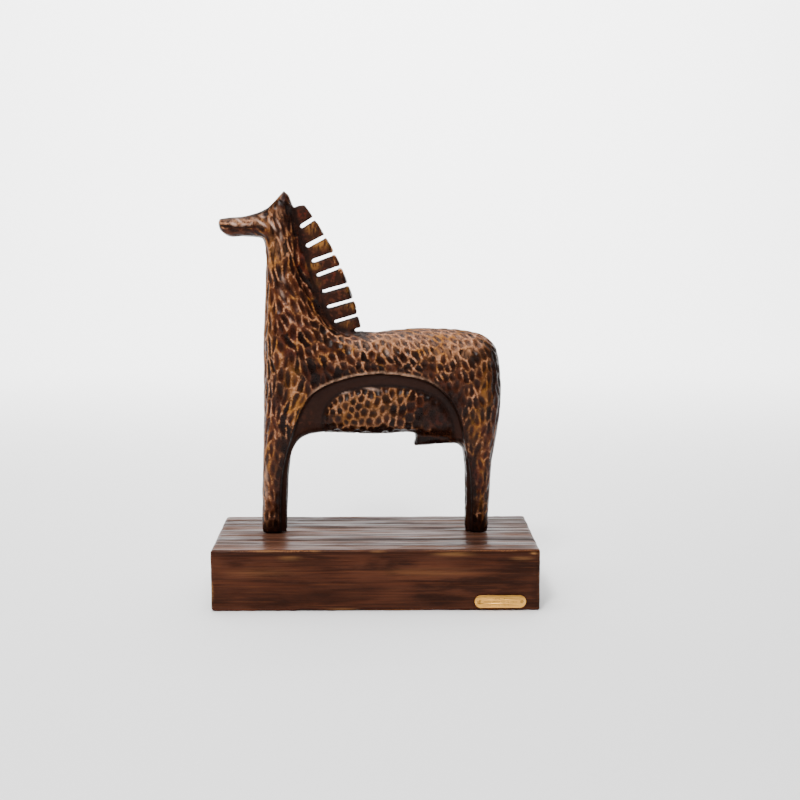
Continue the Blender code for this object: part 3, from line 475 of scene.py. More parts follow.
class Surface:
    """What each place of the horse's skin is: its part, how much it is carved, and its finish, with
    painted shade and painted highlights in it.
    """

    def __init__(self, drawing, places, normals):
        flat = places[:, (0, 2)]
        x, z = flat.T
        in_arch = within(flat, drawing.arch)
        to_arch = distance_to(flat, drawing.arch)
        in_belly = within(flat, drawing.belly)
        to_belly = distance_to(flat, drawing.belly)
        to_root = distance_to(flat, drawing.root)
        in_comb = within(flat, drawing.comb)
        sheath = in_arch & (x > 22.5) & (z < 62.0) & (x < 58)

        self.part = np.full(len(places), BODY)
        self.part[in_comb] = PLAIN
        self.part[in_arch] = PLAIN
        self.part[in_arch & in_belly] = BELLY
        self.part[sheath] = SHEATH

        carved = eased(to_arch, 0.5, 1.5) * eased(to_root, 0.2, 1.4) * eased(z, 0.4, 2.6)
        to_eye = np.linalg.norm(flat - np.array(EYE_PLACE), axis=1)
        carved *= 1 - 0.9 * eased(2.2 - to_eye, 0.0, 0.9)
        belly_carved = eased(to_belly, 0.3, 2.0) * (1 - 0.35 * eased(x, 32, 42))
        self.carved = np.select([self.part == BODY, self.part == BELLY, self.part == SHEATH],
                                [carved, belly_carved, 0.9], 0.0)

        # A painted highlight along the flank's rounded edge above the arch
        self.lip_highlight = eased(1.9 - to_arch, 0.0, 1.1) * (self.part == BODY) * eased(z, 62, 72)
        self.lip_highlight *= eased(x, -44, -34) * eased(-x, -46, -24)

        band = in_arch & ~in_belly & ~sheath
        self.comb = np.maximum(in_comb * 1.0, band * patches_at(flat, ((-46, 74, 7, 16, 0.55),)))
        upward = normals[:, 2]
        root_shade = (eased(3.4 - to_root, 0.0, 2.0) * in_comb
                     + eased(1.2 - to_root, 0.0, 1.2) * ~in_comb)
        to_slot = np.min([distance_to(flat, np.array(slot)) for slot in COMB_SLOTS], axis=0)
        to_rim = np.minimum(to_slot - 1.0, distance_to(flat, smooth_line(COMB_RIM)))
        between_legs = eased(4.4 - np.abs(places[:, 1]), 0.0, 0.6) * eased(60 - z, 0.0, 6.0)
        under_mouth = np.interp(x, drawing.mouth[:, 0], drawing.mouth[:, 1]) - z
        jaw = eased(under_mouth, -0.6, 0.8) * eased(-x, 60, 72) * eased(z, 184, 187)
        # Darkening: dark stain patches and strokes, together with painted shade in hollows, creases
        # and on undersides
        dark = np.maximum.reduce((
            patches_at(flat, DARK_STAIN_AND_SHADE_PATCHES) + 0.12 * wavy(places, 0.11, 3),
            strokes_at(flat, DARK_STAIN_AND_SHADE_STROKES),
            # The head's and the rump's upper sides
            0.85 * eased(upward, 0.45, 0.85) * eased(z, 190, 194) * (1 - in_comb),
            0.32 * eased(upward, 0.82, 0.98) * eased(z, 112, 118) * (x > 0),
            # Painted shade in the hollow between the legs: the arch's smooth band, darkest as a
            # painted shadow under the flank's edge, the valley around the belly, and the sheath
            np.where(band, 0.08 + 0.92 * eased(1.9 - to_arch, 0.0, 1.4), 0.0),
            0.95 * np.where(in_arch, eased(2.4 - to_belly, 0.0, 2.4), 0.0),
            np.where(sheath, 0.6, 0.0),
            # Painted shade in the crease at the comb's root, and darker along its slots and its rim
            0.95 * root_shade * eased(z, 122, 130),
            0.9 * eased(1.1 - to_rim, 0.0, 1.0) * in_comb,
            # Painted shade on the undersides, in the gaps between the legs, and on the lower jaw
            0.75 * eased(-upward, 0.45, 0.9),
            0.8 * between_legs,
            0.28 * jaw,
        ))
        dark *= 1 - 0.85 * patches_at(flat, ((-88.0, 190.0, 7, 2.0, 1.0),))
        # A painted shadow along the mouth's groove
        on_mouth = distance_to(flat, drawing.mouth)
        dark = np.maximum(dark, eased(1.0 - on_mouth, 0.0, 0.8) * eased(-x, 70, 73))
        self.dark = np.clip(dark, 0.0, 1.0)

        wear = 0.58 + 0.50 * wavy(places, 0.10, 7) + 0.55 * wavy(places, 0.26, 8)
        # Barer, lighter ridges on surfaces that face up below the head: wear together with painted
        # light from above
        wear += 0.45 * eased(upward, 0.35, 0.85) * eased(190 - z, 0, 4)
        wear -= 0.40 * eased(4.2 - to_root, 0.0, 3.0) * ~in_comb
        # Worn patches, partly painted light, and stained ones, partly painted shade
        wear += patches_at(flat, WORN_AND_LIT_PATCHES)
        wear -= 0.8 * patches_at(flat, UNWORN_AND_SHADED_PATCHES)
        self.wear = np.clip(wear, 0.08, 1.25)

        # Gold colour, with painted light along the neck's and the front leg's front edges
        gold = patches_at(flat, GOLD_AND_LIT_PATCHES) * (1 + 0.5 * wavy(places, 0.16, 5))
        gold = np.maximum(gold, strokes_at(flat, GOLD_STROKES))
        # Less gold under the painted shade between the legs, and none on the arch's band
        self.gold = np.clip(gold, 0.0, 1.0) * (1 - 0.7 * between_legs) * ~band
        # Tan colour, with painted light on the upper snout, the front edges and the top of the back
        tan = patches_at(flat, TAN_AND_LIT_PATCHES) * (1 + 0.8 * wavy(places, 0.3, 6))
        self.tan = np.clip(tan, 0.0, 1.0)
        self.red = np.clip(patches_at(flat, RED_PATCHES) + 0.5 * wavy(places, 0.09, 9), 0.0, 1.0)
        # Painted highlights on facets, from the pale strokes
        self.pale = strokes_at(flat, HIGHLIGHT_STROKES) * (self.part != PLAIN)
        warmth = patches_at(flat, WARM_PATCHES) + 0.25 * wavy(places, 0.14, 4)
        self.warmth = np.clip(warmth, 0.0, 1.0)


class Marks:
    """The gouge's strikes: where each falls, how it is turned, and how wide and deep it bites."""

    # How much a place off a mark's own plane counts, and how many near marks are compared
    FLATNESS = 0.6
    LOOK_AMONG = 12

    def __init__(self, places, normals, part, settings):
        self.random = np.random.default_rng(settings.random_seed)
        self.places, self.normals, self.part = places, normals, part
        self.tree = self.tree_of(places)
        heading, sizes = self.led(places, part)
        along = np.stack([np.cos(heading), np.zeros(len(heading)), np.sin(heading)], axis=1)
        along -= (along * normals).sum(axis=1)[:, None] * normals
        flat = np.linalg.norm(along, axis=1)
        along[flat < 0.2] = np.cross(normals[flat < 0.2], (0.0, 1.0, 0.0))
        along /= np.linalg.norm(along, axis=1)[:, None]
        self.all_along, self.all_across, self.all_sizes = along, np.cross(normals, along), sizes
        seeds = self.scatter(settings.mark_spacing)
        for _ in range(2):
            self.take(seeds)
            seeds = self.centred()
        self.take(seeds)

    @staticmethod
    def tree_of(places):
        tree = kdtree.KDTree(len(places))
        for index, place in enumerate(places):
            tree.insert(place, index)
        tree.balance()
        return tree

    @staticmethod
    def led(places, part):
        """Heading of the marks at each place, and their half length, half width and depth."""
        heading = np.zeros(len(places))
        sizes = np.ones((len(places), 3))
        for kind, table in ((BODY, OUTER_MARKS), (BELLY, BELLY_MARKS), (SHEATH, SHEATH_MARKS)):
            chosen = part == kind
            guides = np.array(table, dtype=float)
            gap = np.linalg.norm(places[chosen][:, None, (0, 2)] - guides[None, :, :2], axis=2)
            weight = 1 / (gap ** 3 + 60.0)
            weight /= weight.sum(axis=1, keepdims=True)
            twice = np.radians(guides[:, 2]) * 2
            heading[chosen] = np.arctan2(weight @ np.sin(twice), weight @ np.cos(twice)) / 2
            sizes[chosen] = weight @ guides[:, 3:]
        return heading, sizes

    def scatter(self, spacing):
        """Picks places in a random order, each one only if no earlier mark lies too close."""
        free = self.part != PLAIN
        seeds = []
        for index in self.random.permutation(np.flatnonzero(free)):
            if not free[index]:
                continue
            seeds.append(index)
            length, width, _ = self.all_sizes[index]
            hits = self.tree.find_range(self.places[index], spacing * length)
            near = np.array([hit[1] for hit in hits])
            offset = self.places[near] - self.places[index]
            reach = ((offset @ self.all_along[index] / length) ** 2
                     + (offset @ self.all_across[index] / width) ** 2
                     + self.FLATNESS * (offset @ self.normals[index] / width) ** 2)
            close = (reach < spacing ** 2) & (self.part[near] == self.part[index])
            free[near[close]] = False
        return np.array(seeds)

    def take(self, seeds):
        """Sets the marks from the places picked."""
        self.seeds = seeds
        self.place = self.places[seeds]
        self.along, self.across = self.all_along[seeds], self.all_across[seeds]
        self.normal, self.kind = self.normals[seeds], self.part[seeds]
        self.length, self.width, self.depth = self.all_sizes[seeds].T
        swell = self.random.uniform(0.78, 1.26, (2, len(seeds)))
        self.length, self.width = self.length * swell[0], self.width * swell[1]
        turn = self.random.normal(0.0, 0.20, len(seeds))[:, None]
        self.along, self.across = (self.along * np.cos(turn) + self.across * np.sin(turn),
                                   self.across * np.cos(turn) - self.along * np.sin(turn))
        self.bite = self.random.uniform(-0.16, 0.26, len(seeds))
        self.tone = self.random.uniform(0.0, 1.0, len(seeds))
        self.seed_tree = self.tree_of(self.place)

    def steps(self, points, marks):
        """Offsets from marks in each one's own directions, as shares of its size."""
        offset = points - self.place[marks]
        return ((offset * self.along[marks]).sum(-1) / self.length[marks],
                (offset * self.across[marks]).sum(-1) / self.width[marks],
                (offset * self.normal[marks]).sum(-1) / self.width[marks])

    def level(self, points, marks, kinds):
        """How high each mark's cut leaves the surface: 0 at its centre, about 1 at its rim."""
        u, v, w = self.steps(points, marks)
        other = self.kind[marks] != kinds
        return u * u + v * v + self.FLATNESS * w * w - self.bite[marks] + 1000.0 * other

    def slope(self, points, marks):
        """Half the gradient of a mark's level."""
        u, v, w = self.steps(points, marks)
        return (self.along[marks] * (u / self.length[marks])[..., None]
                + self.across[marks] * (v / self.width[marks])[..., None]
                + self.normal[marks] * (self.FLATNESS * w / self.width[marks])[..., None])

    def lowest_two(self, points, kinds):
        """The mark that cuts deepest at each point, the next one, and both levels."""
        count = min(self.LOOK_AMONG, len(self.seeds))
        near = np.array([[hit[1] for hit in self.seed_tree.find_n(point, count)]
                         for point in points])
        levels = self.level(points[:, None, :], near, kinds[:, None])
        order = np.argsort(levels, axis=1)[:, :2]
        rows = np.arange(len(points))[:, None]
        first, second = near[rows, order].T
        level, next_level = levels[rows, order].T
        return first, second, level, next_level

    def centred(self):
        """Places nearest to the middle of what each mark covers."""
        first, *_ = self.lowest_two(self.places, self.part)
        used = self.part != PLAIN
        count = np.maximum(np.bincount(first[used], minlength=len(self.seeds)), 1)
        middle = np.stack([np.bincount(first[used], self.places[used, axis], len(self.seeds))
                           for axis in range(3)], axis=1) / count[:, None]
        moved = [self.tree.find(spot)[1] if total > 3 else seed
                 for spot, total, seed in zip(middle, count, self.seeds)]
        kept = [new if self.part[new] == self.part[old] else old
                for new, old in zip(moved, self.seeds)]
        return np.array(sorted(set(kept)))

    def to_ridge(self, points, normals, first, second, level, next_level):
        """Distance in millimetres from points to the ridge between their two marks.

        With it comes 1 where that ridge runs across the marks' ends, 0 where it runs along them.
        """
        rise = 2 * (self.slope(points, second) - self.slope(points, first))
        rise -= (rise * normals).sum(axis=1)[:, None] * normals
        steep = np.maximum(np.linalg.norm(rise, axis=1), 0.05)
        crosswise = ((rise * self.along[first]).sum(axis=1) / steep) ** 2
        return (next_level - level) / steep, crosswise


def smooth_skin(piece, drawing, settings):
    """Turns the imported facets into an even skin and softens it, least where edges stay crisp."""
    remesh = piece.modifiers.new("even_skin", "REMESH")
    remesh.mode = "VOXEL"
    remesh.voxel_size = settings.skin_spacing
    apply_modifier(piece, remesh)
    places = drawing.drawn(read(piece.data, "co"))
    flat = places[:, (0, 2)]
    x, z = flat.T
    crisp = np.maximum.reduce((
        within(flat, drawing.comb) * 1.0,
        eased(3.2 - distance_to(flat, drawing.arch), 0.0, 1.5),
        ((x > 21) & (z < 63) & (x < 40)) * 1.0,
        eased(1.5 - z, 0.0, 1.0),
        eased(6.0 - np.linalg.norm(flat - np.array(JAW_CORNER), axis=1), 0.0, 2.0),
    ))
    group = piece.vertex_groups.new(name="soften")
    weight = np.round((1 - 0.8 * crisp) * 10).astype(int)
    for level in range(1, 11):
        group.add(np.flatnonzero(weight == level).tolist(), level / 10, "REPLACE")
    soften = piece.modifiers.new("soften", "SMOOTH")
    soften.factor = 0.5
    soften.iterations = settings.soften_rounds
    soften.vertex_group = "soften"
    apply_modifier(piece, soften)
    piece.vertex_groups.clear()


def cut_ridges(mesh, marks, places, normals, surface):
    """Splits the skin along the ridges between marks.

    Returns the work mesh, the number of each vertex's point, and for each point its drawn place,
    its normal, its part and carved amount, the mark that holds it, its level, its distance to the
    nearest ridge and how that ridge runs.
    """
    part, carved = surface.part, surface.carved
    first, second, level, next_level = marks.lowest_two(places, part)
    ridge, crosswise = marks.to_ridge(places, normals, first, second, level, next_level)
    work = bmesh.new()
    work.from_mesh(mesh)
    source = work.verts.layers.int.new("source")
    verts, edges = list(work.verts), list(work.edges)
    for number, vert in enumerate(verts):
        vert[source] = number
    ends = np.array([[vert[source] for vert in edge.verts] for edge in edges])
    a, b = ends.T
    crossed = (first[a] != first[b]) & (part[a] == part[b]) & (part[a] != PLAIN)
    crossed &= (carved[a] + carved[b]) > 0.04
    index = np.flatnonzero(crossed)
    a, b = a[index], b[index]
    at_start = marks.level(places[a], first[b], part[a]) - level[a]
    at_end = marks.level(places[b], first[a], part[b]) - level[b]
    share = np.clip(at_start / np.maximum(at_start + at_end, 1e-9), 0.1, 0.9)
    mixed = places[a] + share[:, None] * (places[b] - places[a])
    count = len(places)
    touched = {}
    for number, edge_index in enumerate(index):
        touched.update((face, None) for face in edges[edge_index].link_faces)
        _, vert = bmesh.utils.edge_split(edges[edge_index], verts[a[number]], float(share[number]))
        vert[source] = count + number
    junctions = []
    for face in touched:
        fresh = [vert for vert in face.verts if vert[source] >= count]
        if len(fresh) == 2:
            bmesh.utils.face_split(face, fresh[0], fresh[1])
        elif len(fresh) > 2:
            junctions.append(face)
    poked = bmesh.ops.poke(work, faces=junctions)["verts"]
    for number, vert in enumerate(poked):
        vert[source] = count + len(index) + number
    between = normals[a] + share[:, None] * (normals[b] - normals[a])
    centres, centre_normals, centre_parts, centre_carved = [], [], [], []
    for vert in poked:
        around = [edge.other_vert(vert)[source] for edge in vert.link_edges]
        olds = [spot for spot in around if spot < count]
        centres.append(np.mean([places[spot] if spot < count else mixed[spot - count]
                                for spot in around], axis=0))
        centre_normals.append(normals[olds].mean(axis=0))
        centre_parts.append(part[olds[0]])
        centre_carved.append(carved[olds].mean())
    places = np.vstack([places, mixed, np.array(centres).reshape(-1, 3)])
    normals = np.vstack([normals, between, np.array(centre_normals).reshape(-1, 3)])
    normals /= np.linalg.norm(normals, axis=1)[:, None]
    split_carved = carved[a] + share * (carved[b] - carved[a])
    carved = np.concatenate([carved, split_carved, centre_carved])
    part = np.concatenate([part, part[a], centre_parts]).astype(int)
    split_level = marks.level(mixed, first[a], part[a])
    centre_mark, _, centre_level, _ = marks.lowest_two(np.array(centres).reshape(-1, 3),
                                                       np.array(centre_parts, dtype=int))
    level = np.concatenate([level, split_level, centre_level])
    holder = np.concatenate([first, first[a], centre_mark])
    ridge = np.concatenate([ridge, np.zeros(len(index) + len(centres))])
    crosswise = np.concatenate([crosswise, (crosswise[a] + crosswise[b]) / 2,
                                np.full(len(centres), 0.4)])
    bmesh.ops.triangulate(work, faces=[face for face in work.faces if len(face.verts) > 3],
                          quad_method="SHORT_EDGE", ngon_method="BEAUTY")
    order = np.array([vert[source] for vert in work.verts])
    work.verts.layers.int.remove(source)
    return work, order, places, normals, part, carved, holder, level, ridge, crosswise


def carve_skin(piece, drawing, settings):
    """Strikes the gouge marks into the skin, and stores what the finish needs to know of them."""
    mesh = piece.data
    places = drawing.drawn(read(mesh, "co"))
    normals = read(mesh, "normal")
    surface = Surface(drawing, places, normals)
    marks = Marks(places, normals, surface.part, settings)
    work, order, places, normals, part, carved, holder, level, ridge, crosswise = cut_ridges(
        mesh, marks, places, normals, surface)
    surface = Surface(drawing, places, normals)
    depth = marks.depth[holder] * settings.mark_depth * carved
    sunk = np.where(part == PLAIN, 0.0, depth * (np.minimum(level, CUT_END) - CUT_END))
    proud = settings.proud / drawing.unit * np.where(part == PLAIN, 0.0, 1.0)
    wobble = 0.13 * wavy(places, 0.12, 1) + 0.04 * wavy(places, 0.45, 2) - 0.05
    flat, height = places[:, (0, 2)], places[:, 2]
    mouth = np.where(np.abs(places[:, 1]) > 1.0, distance_to(flat, drawing.mouth), 9.0)
    groove = -0.34 * eased(0.9 - mouth, 0.0, 0.9)
    eye = np.linalg.norm((flat - np.array(EYE_PLACE)) / np.array((1.9, 1.25)), axis=1)
    socket = -0.75 * eased(1.25 - eye, 0.0, 0.5) + 0.45 * eased(0.8 - eye, 0.0, 0.6)
    ends = eased(height, 0.2, 3.0) * eased(214.5 - height, 0.0, 3.0)
    lifted = sunk + groove + socket + (wobble + proud) * ends
    placed = drawing.world(places + normals * lifted[:, None])
    for vert, number in zip(work.verts, order):
        vert.co = placed[number]
    work.to_mesh(mesh)
    work.free()
    mesh.shade_smooth()

    finish = {name: getattr(surface, name)
              for name in ("lip_highlight", "comb", "tan", "red", "pale", "warmth", "dark", "gold")}
    finish["to_ridge"] = np.where(part == PLAIN, 6.0, ridge)
    finish["tone"] = marks.tone[holder]
    finish["carved"] = np.where(part == PLAIN, 0.0, carved)
    finish["level"] = np.clip(level, 0.0, 1.4)
    finish["wear"] = surface.wear * (1 - 0.5 * crosswise)
    for name, values in finish.items():
        store(mesh, name, values[order])
    thin = piece.modifiers.new("thin_flats", "DECIMATE")
    thin.ratio = settings.kept_facets
    apply_modifier(piece, thin)
    piece.data.shade_smooth()


def store(mesh, name, values):
    """Keeps one number for each vertex."""
    attribute = mesh.attributes.new(name, "FLOAT", "POINT")
    attribute.data.foreach_set("value", values.astype(np.float32))


def darker(color, share):
    """A share of a colour."""
    return tuple(share * value for value in color)


class NodeTree:
    """Short ways to add and join a material's nodes."""

    def __init__(self, name):
        self.material = bpy.data.materials.new(name)
        self.material.use_nodes = True
        self.tree = self.material.node_tree
        self.shader = self.tree.nodes["Principled BSDF"]

    def add(self, kind, sockets=None, **values):
        node = self.tree.nodes.new(kind)
        for key, value in values.items():
            setattr(node, key, value)
        for key, value in (sockets or {}).items():
            if isinstance(value, bpy.types.NodeSocket):
                self.tree.links.new(value, node.inputs[key])
            else:
                node.inputs[key].default_value = value
        return node

    def attribute(self, name):
        return self.add("ShaderNodeAttribute", attribute_name=name).outputs["Fac"]

    def place(self, x=1.0, z=1.0):
        """Object coordinates, stretched along x or z."""
        spot = self.add("ShaderNodeTexCoord").outputs["Object"]
        node = self.add("ShaderNodeMapping", {"Vector": spot, "Scale": (x, 1.0, z)})
        return node.outputs["Vector"]

    def noise(self, spot, scale, detail=3.0, roughness=0.55, distortion=0.0):
        return self.add("ShaderNodeTexNoise", {"Vector": spot, "Scale": scale, "Detail": detail,
                                               "Roughness": roughness,
                                               "Distortion": distortion}).outputs["Fac"]

    def math(self, operation, first, second=0.0, clamp=False):
        return self.add("ShaderNodeMath", {0: first, 1: second}, operation=operation,
                        use_clamp=clamp).outputs[0]

    def times(self, first, second, clamp=False):
        return self.math("MULTIPLY", first, second, clamp)

    def plus(self, first, second):
        return self.math("ADD", first, second)

    def minus(self, first, second, clamp=False):
        return self.math("SUBTRACT", first, second, clamp)

    def ease(self, value, start, end, low=0.0, high=1.0):
        return self.add("ShaderNodeMapRange", {"Value": value, "From Min": start, "From Max": end,
                                               "To Min": low, "To Max": high},
                        interpolation_type="SMOOTHSTEP").outputs["Result"]

    def blend(self, factor, first, second):
        """Mixes from the first colour to the second by a factor."""
        node = self.add("ShaderNodeMix", data_type="RGBA")
        for socket, value in ((node.inputs["Factor"], factor), (node.inputs[6], first),
                              (node.inputs[7], second)):
            if isinstance(value, bpy.types.NodeSocket):
                self.tree.links.new(value, socket)
            elif isinstance(value, (int, float)):
                socket.default_value = value
            else:
                socket.default_value = (*value, 1.0)
        return node.outputs[2]

    def bump(self, height, strength, distance, under=None):
        node = self.add("ShaderNodeBump", {"Height": height, "Strength": strength,
                                           "Distance": distance})
        if under is not None:
            self.tree.links.new(under, node.inputs["Normal"])
        return node.outputs["Normal"]

    def finish(self, color, roughness, normal, **constants):
        self.tree.links.new(color, self.shader.inputs["Base Color"])
        self.tree.links.new(roughness, self.shader.inputs["Roughness"])
        self.tree.links.new(normal, self.shader.inputs["Normal"])
        for key, value in constants.items():
            self.shader.inputs[key.replace("_", " ")].default_value = value
        return self.material


def carved_wood(settings):
    """Stained wood: dark dishes, amber slopes, worn tan ridges, golden patches, smooth bands, and
    painted shade and painted highlights over them.
    """
    wood = NodeTree("carved_stained_wood")
    even = wood.place()
    fine = wood.noise(even, 900.0, 4.0)
    patchy = wood.noise(even, 330.0, 3.0)
    broad = wood.noise(even, 85.0, 3.0)
    streaky = wood.noise(wood.place(z=0.35), 620.0, 4.0, 0.6, 0.4)
    grain = wood.noise(wood.place(z=0.18), 1400.0, 3.0)
    level, wear, dark, gold, tan = (wood.attribute(name)
                                    for name in ("level", "wear", "dark", "gold", "tan"))
    carved = wood.ease(wood.attribute("carved"), 0.0, 0.5)
    warm = wood.blend(wood.attribute("red"), settings.dish_warm, settings.dish_red)

    # The dishes, from the stain pooled in them up their slopes
    slope = wood.plus(level, wood.minus(wood.times(streaky, 0.60), 0.30))
    tone = wood.plus(wood.times(wood.attribute("tone"), 0.80),
                     wood.times(wood.ease(patchy, 0.3, 0.7), 0.40))
    tone = wood.plus(tone, wood.times(wood.attribute("warmth"), 0.7))
    tone = wood.minus(tone, 0.20, clamp=True)
    side = wood.times(wood.ease(slope, -0.05, 0.75, 0.25, 1.0), tone)
    dish = wood.blend(side, settings.dish_dark_and_shade, warm)
    glow = wood.times(wood.ease(slope, 0.45, 1.15), wood.ease(wear, 0.2, 1.1))
    glow = wood.times(glow, wood.ease(patchy, 0.35, 0.65, 0.35, 1.0))
    dish = wood.blend(glow, dish, settings.slope_amber)
    gilt = wood.times(wood.ease(streaky, 0.35, 0.6, 0.20, 0.90),
                      wood.ease(slope, 0.05, 0.85, 0.14, 1.0))
    dish = wood.blend(wood.times(gold, gilt), dish, darker(settings.ridge_gold, 0.62))
    tanned = wood.times(tan, wood.ease(streaky, 0.36, 0.62, 0.0, 0.95))
    dish = wood.blend(tanned, dish, darker(settings.ridge_tan, 0.62))

    # The ridges, and where the stain is worn off them
    ridge = wood.blend(wood.ease(broad, 0.48, 0.66), settings.ridge_tan, settings.ridge_gold)
    ridge = wood.blend(wood.times(gold, 0.85), ridge, settings.ridge_gold)
    ridge = wood.blend(wood.ease(fine, 0.40, 0.75, 0.0, 0.62), ridge, warm)
    ridge = wood.blend(wood.ease(streaky, 0.43, 0.64, 0.0, 0.62), ridge, settings.slope_amber)
    stray = wood.minus(wood.ease(fine, 0.2, 0.8, 0.0, 0.9), 0.40)
    line = wood.ease(wood.plus(wood.attribute("to_ridge"), stray), 0.10, 0.95, 1.0, 0.0)
    worn = wood.times(wear, wood.ease(patchy, 0.32, 0.62, 0.25, 1.25))
    spread = wood.times(wood.ease(slope, 0.52, 1.05), wood.ease(worn, 0.50, 1.20))
    bare = wood.math("MAXIMUM", wood.times(line, wood.ease(worn, 0.12, 0.85)), spread)
    bare = wood.times(bare, carved)
    bare = wood.times(bare, wood.ease(dark, 0.1, 0.95, 1.0, 0.06), clamp=True)
    color = wood.blend(bare, dish, ridge)

    # The smooth cut surfaces, then the dark stain with its painted shade, the painted highlight on
    # the flank's edge and the painted highlight strokes over all
    stained = wood.times(wood.attribute("comb"), wood.ease(patchy, 0.45, 0.7))
    smooth = wood.blend(stained, settings.smooth_dark, warm)
    gilded = wood.times(gold, wood.ease(streaky, 0.36, 0.62, 0.0, 1.0))
    smooth = wood.blend(gilded, smooth, (0.255, 0.105, 0.022))
    color = wood.blend(carved, smooth, color)
    # Painted shade together with the dark stain, laid over all in the dark dish colour
    shade = wood.times(dark, wood.ease(streaky, 0.3, 0.6, 0.70, 1.0))
    color = wood.blend(wood.times(shade, 0.92), color, settings.dish_dark_and_shade)
    # The painted highlight on the flank's edge above the arch
    lip_highlight_share = wood.times(wood.attribute("lip_highlight"), wood.ease(patchy, 0.35, 0.6, 0.30, 0.95))
    color = wood.blend(lip_highlight_share, color, (0.27, 0.155, 0.098))
    # The painted highlight strokes
    rubbed = wood.times(wood.attribute("pale"), wood.ease(fine, 0.3, 0.55, 0.55, 1.0))
    color = wood.blend(rubbed, color, settings.painted_highlight_color)
    roughness = wood.plus(wood.ease(fine, 0.3, 0.7, 0.24, 0.38), wood.times(bare, 0.26))
    roughness = wood.plus(roughness, wood.ease(carved, 0.0, 0.6, 0.16, 0.0))
    roughness = wood.plus(roughness, wood.ease(wear, 0.75, 1.25, 0.0, 0.16))
    normal = wood.bump(grain, 0.12, 0.0004, wood.bump(fine, 0.15, 0.0003))
    return wood.finish(color, roughness, normal, Specular_IOR_Level=0.10)


class HORSE_OT_carve_figure(bpy.types.Operator):
    """Makes the horse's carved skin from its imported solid"""
    bl_idname = "horse_figurine.carve_figure"
    bl_label = "Carve the horse"

    def execute(self, context):
        settings = context.scene.carving
        drawing = Drawing()
        horse = copy_of_solid("horse", "carved_horse")
        smooth_skin(horse, drawing, settings)
        carve_skin(horse, drawing, settings)
        finish_piece(horse, carved_wood(settings), "horse")
        return {"FINISHED"}


def lattice_box(name, low, high, cuts):
    """A box whose faces carry an even lattice, with so many cuts across each axis."""
    size = high - low
    deselect_all()
    bpy.ops.mesh.primitive_cube_add(size=1.0, location=(low + high) / 2)
    box = bpy.context.object
    box.name = name
    box.data.name = name
    box.scale = size
    bpy.ops.object.transform_apply(location=True, rotation=False, scale=True)
    for axis, count in enumerate(cuts):
        work = bmesh.new()
        work.from_mesh(box.data)
        spans = [(edge, edge.verts[1].co - edge.verts[0].co) for edge in work.edges]
        chosen = [edge for edge, span in spans if abs(span[axis]) > 0.5 * span.length]
        bmesh.ops.subdivide_edges(work, edges=chosen, cuts=count, use_grid_fill=True)
        work.to_mesh(box.data)
        work.free()
    return box


def grain_height(place, top):
    """Brushed grain at a place in millimetres: ridges of hard wood that run along x, 0 to 1.

    The top face, where the height of the plinth's top edge is given, has a few long furrows too.
    """
    x, y, z = place
    bow = 1.4 * noise.noise(Vector((x * 0.012, y * 0.03, z * 0.03)))
    lines = noise.noise(Vector((x * 0.010, (y + bow) * 0.42, (z + bow) * 0.42)))
    fine = noise.noise(Vector((x * 0.022 + 40, (y + bow) * 1.1, (z + bow) * 1.1)))
    cleft = 0.0
    if z > top - 4.0:
        for furrow, strength in TOP_FURROWS:
            wander = 1.8 * noise.noise(Vector((x * 0.011, furrow, 3.0)))
            fade = 0.75 + 0.9 * noise.noise(Vector((x * 0.016, furrow, 7.0)))
            gap = abs(y - furrow - wander) / 1.3
            cleft = max(cleft, strength * max(0.0, 1 - gap) * min(1.0, max(0.0, fade)))
    return 0.5 + 0.55 * lines + 0.35 * fine - 1.3 * cleft


def shape_plinth(plinth, low, high, settings):
    """Rounds the plinth's edges a little unevenly and presses the grain into its faces."""
    centre, half = (low + high) / 2, (high - low) / 2
    places = read(plinth.data, "co")
    share = (places[:, 0] - centre.x) / half.x
    places[:, 0] = centre.x + half.x * (0.45 * share + 0.55 * np.sin(share * math.pi / 2))
    heights = np.empty(len(places))
    for index, place in enumerate(places):
        spot = Vector(place)
        drawn = spot * MILLIMETRES
        uneven = (1 + 0.45 * noise.noise(drawn * 0.05)
                  + 0.35 * noise.noise(drawn * 0.17 + Vector((9, 9, 9))))
        radius = settings.edge_round * max(0.45, uneven)
        inner = Vector([max(low[axis] + radius, min(high[axis] - radius, spot[axis]))
                        for axis in range(3)])
        out = spot - inner
        heights[index] = grain_height(drawn, high.z * MILLIMETRES)
        if out.length > 1e-9:
            out.normalize()
            spot = inner + out * radius
            on_end = abs(out.x)
            press = settings.grain_depth * (1 - min(1.0, heights[index])) * (1 - 0.6 * on_end)
            under = 1.0 if spot.z > low.z + 0.0005 else 0.0
            places[index] = spot - out * press * under
    plinth.data.vertices.foreach_set("co", places.ravel())
    plinth.data.update()
    worn = np.empty(len(places))
    for index, place in enumerate(places):
        gaps = sorted(min(place[axis] - low[axis], high[axis] - place[axis]) for axis in range(3))
        worn[index] = gaps[1] * MILLIMETRES
    front = places[:, 1] < low.y + FRONT_REACH
    flat = places[:, (0, 2)] * MILLIMETRES
    store(plinth.data, "rubbed", patches_at(flat, FRONT_RUBS) * front)
    store(plinth.data, "stained", patches_at(flat, FRONT_STAINS) * front)
    store(plinth.data, "grain", heights)
    store(plinth.data, "to_edge", worn)
    plinth.data.shade_smooth()


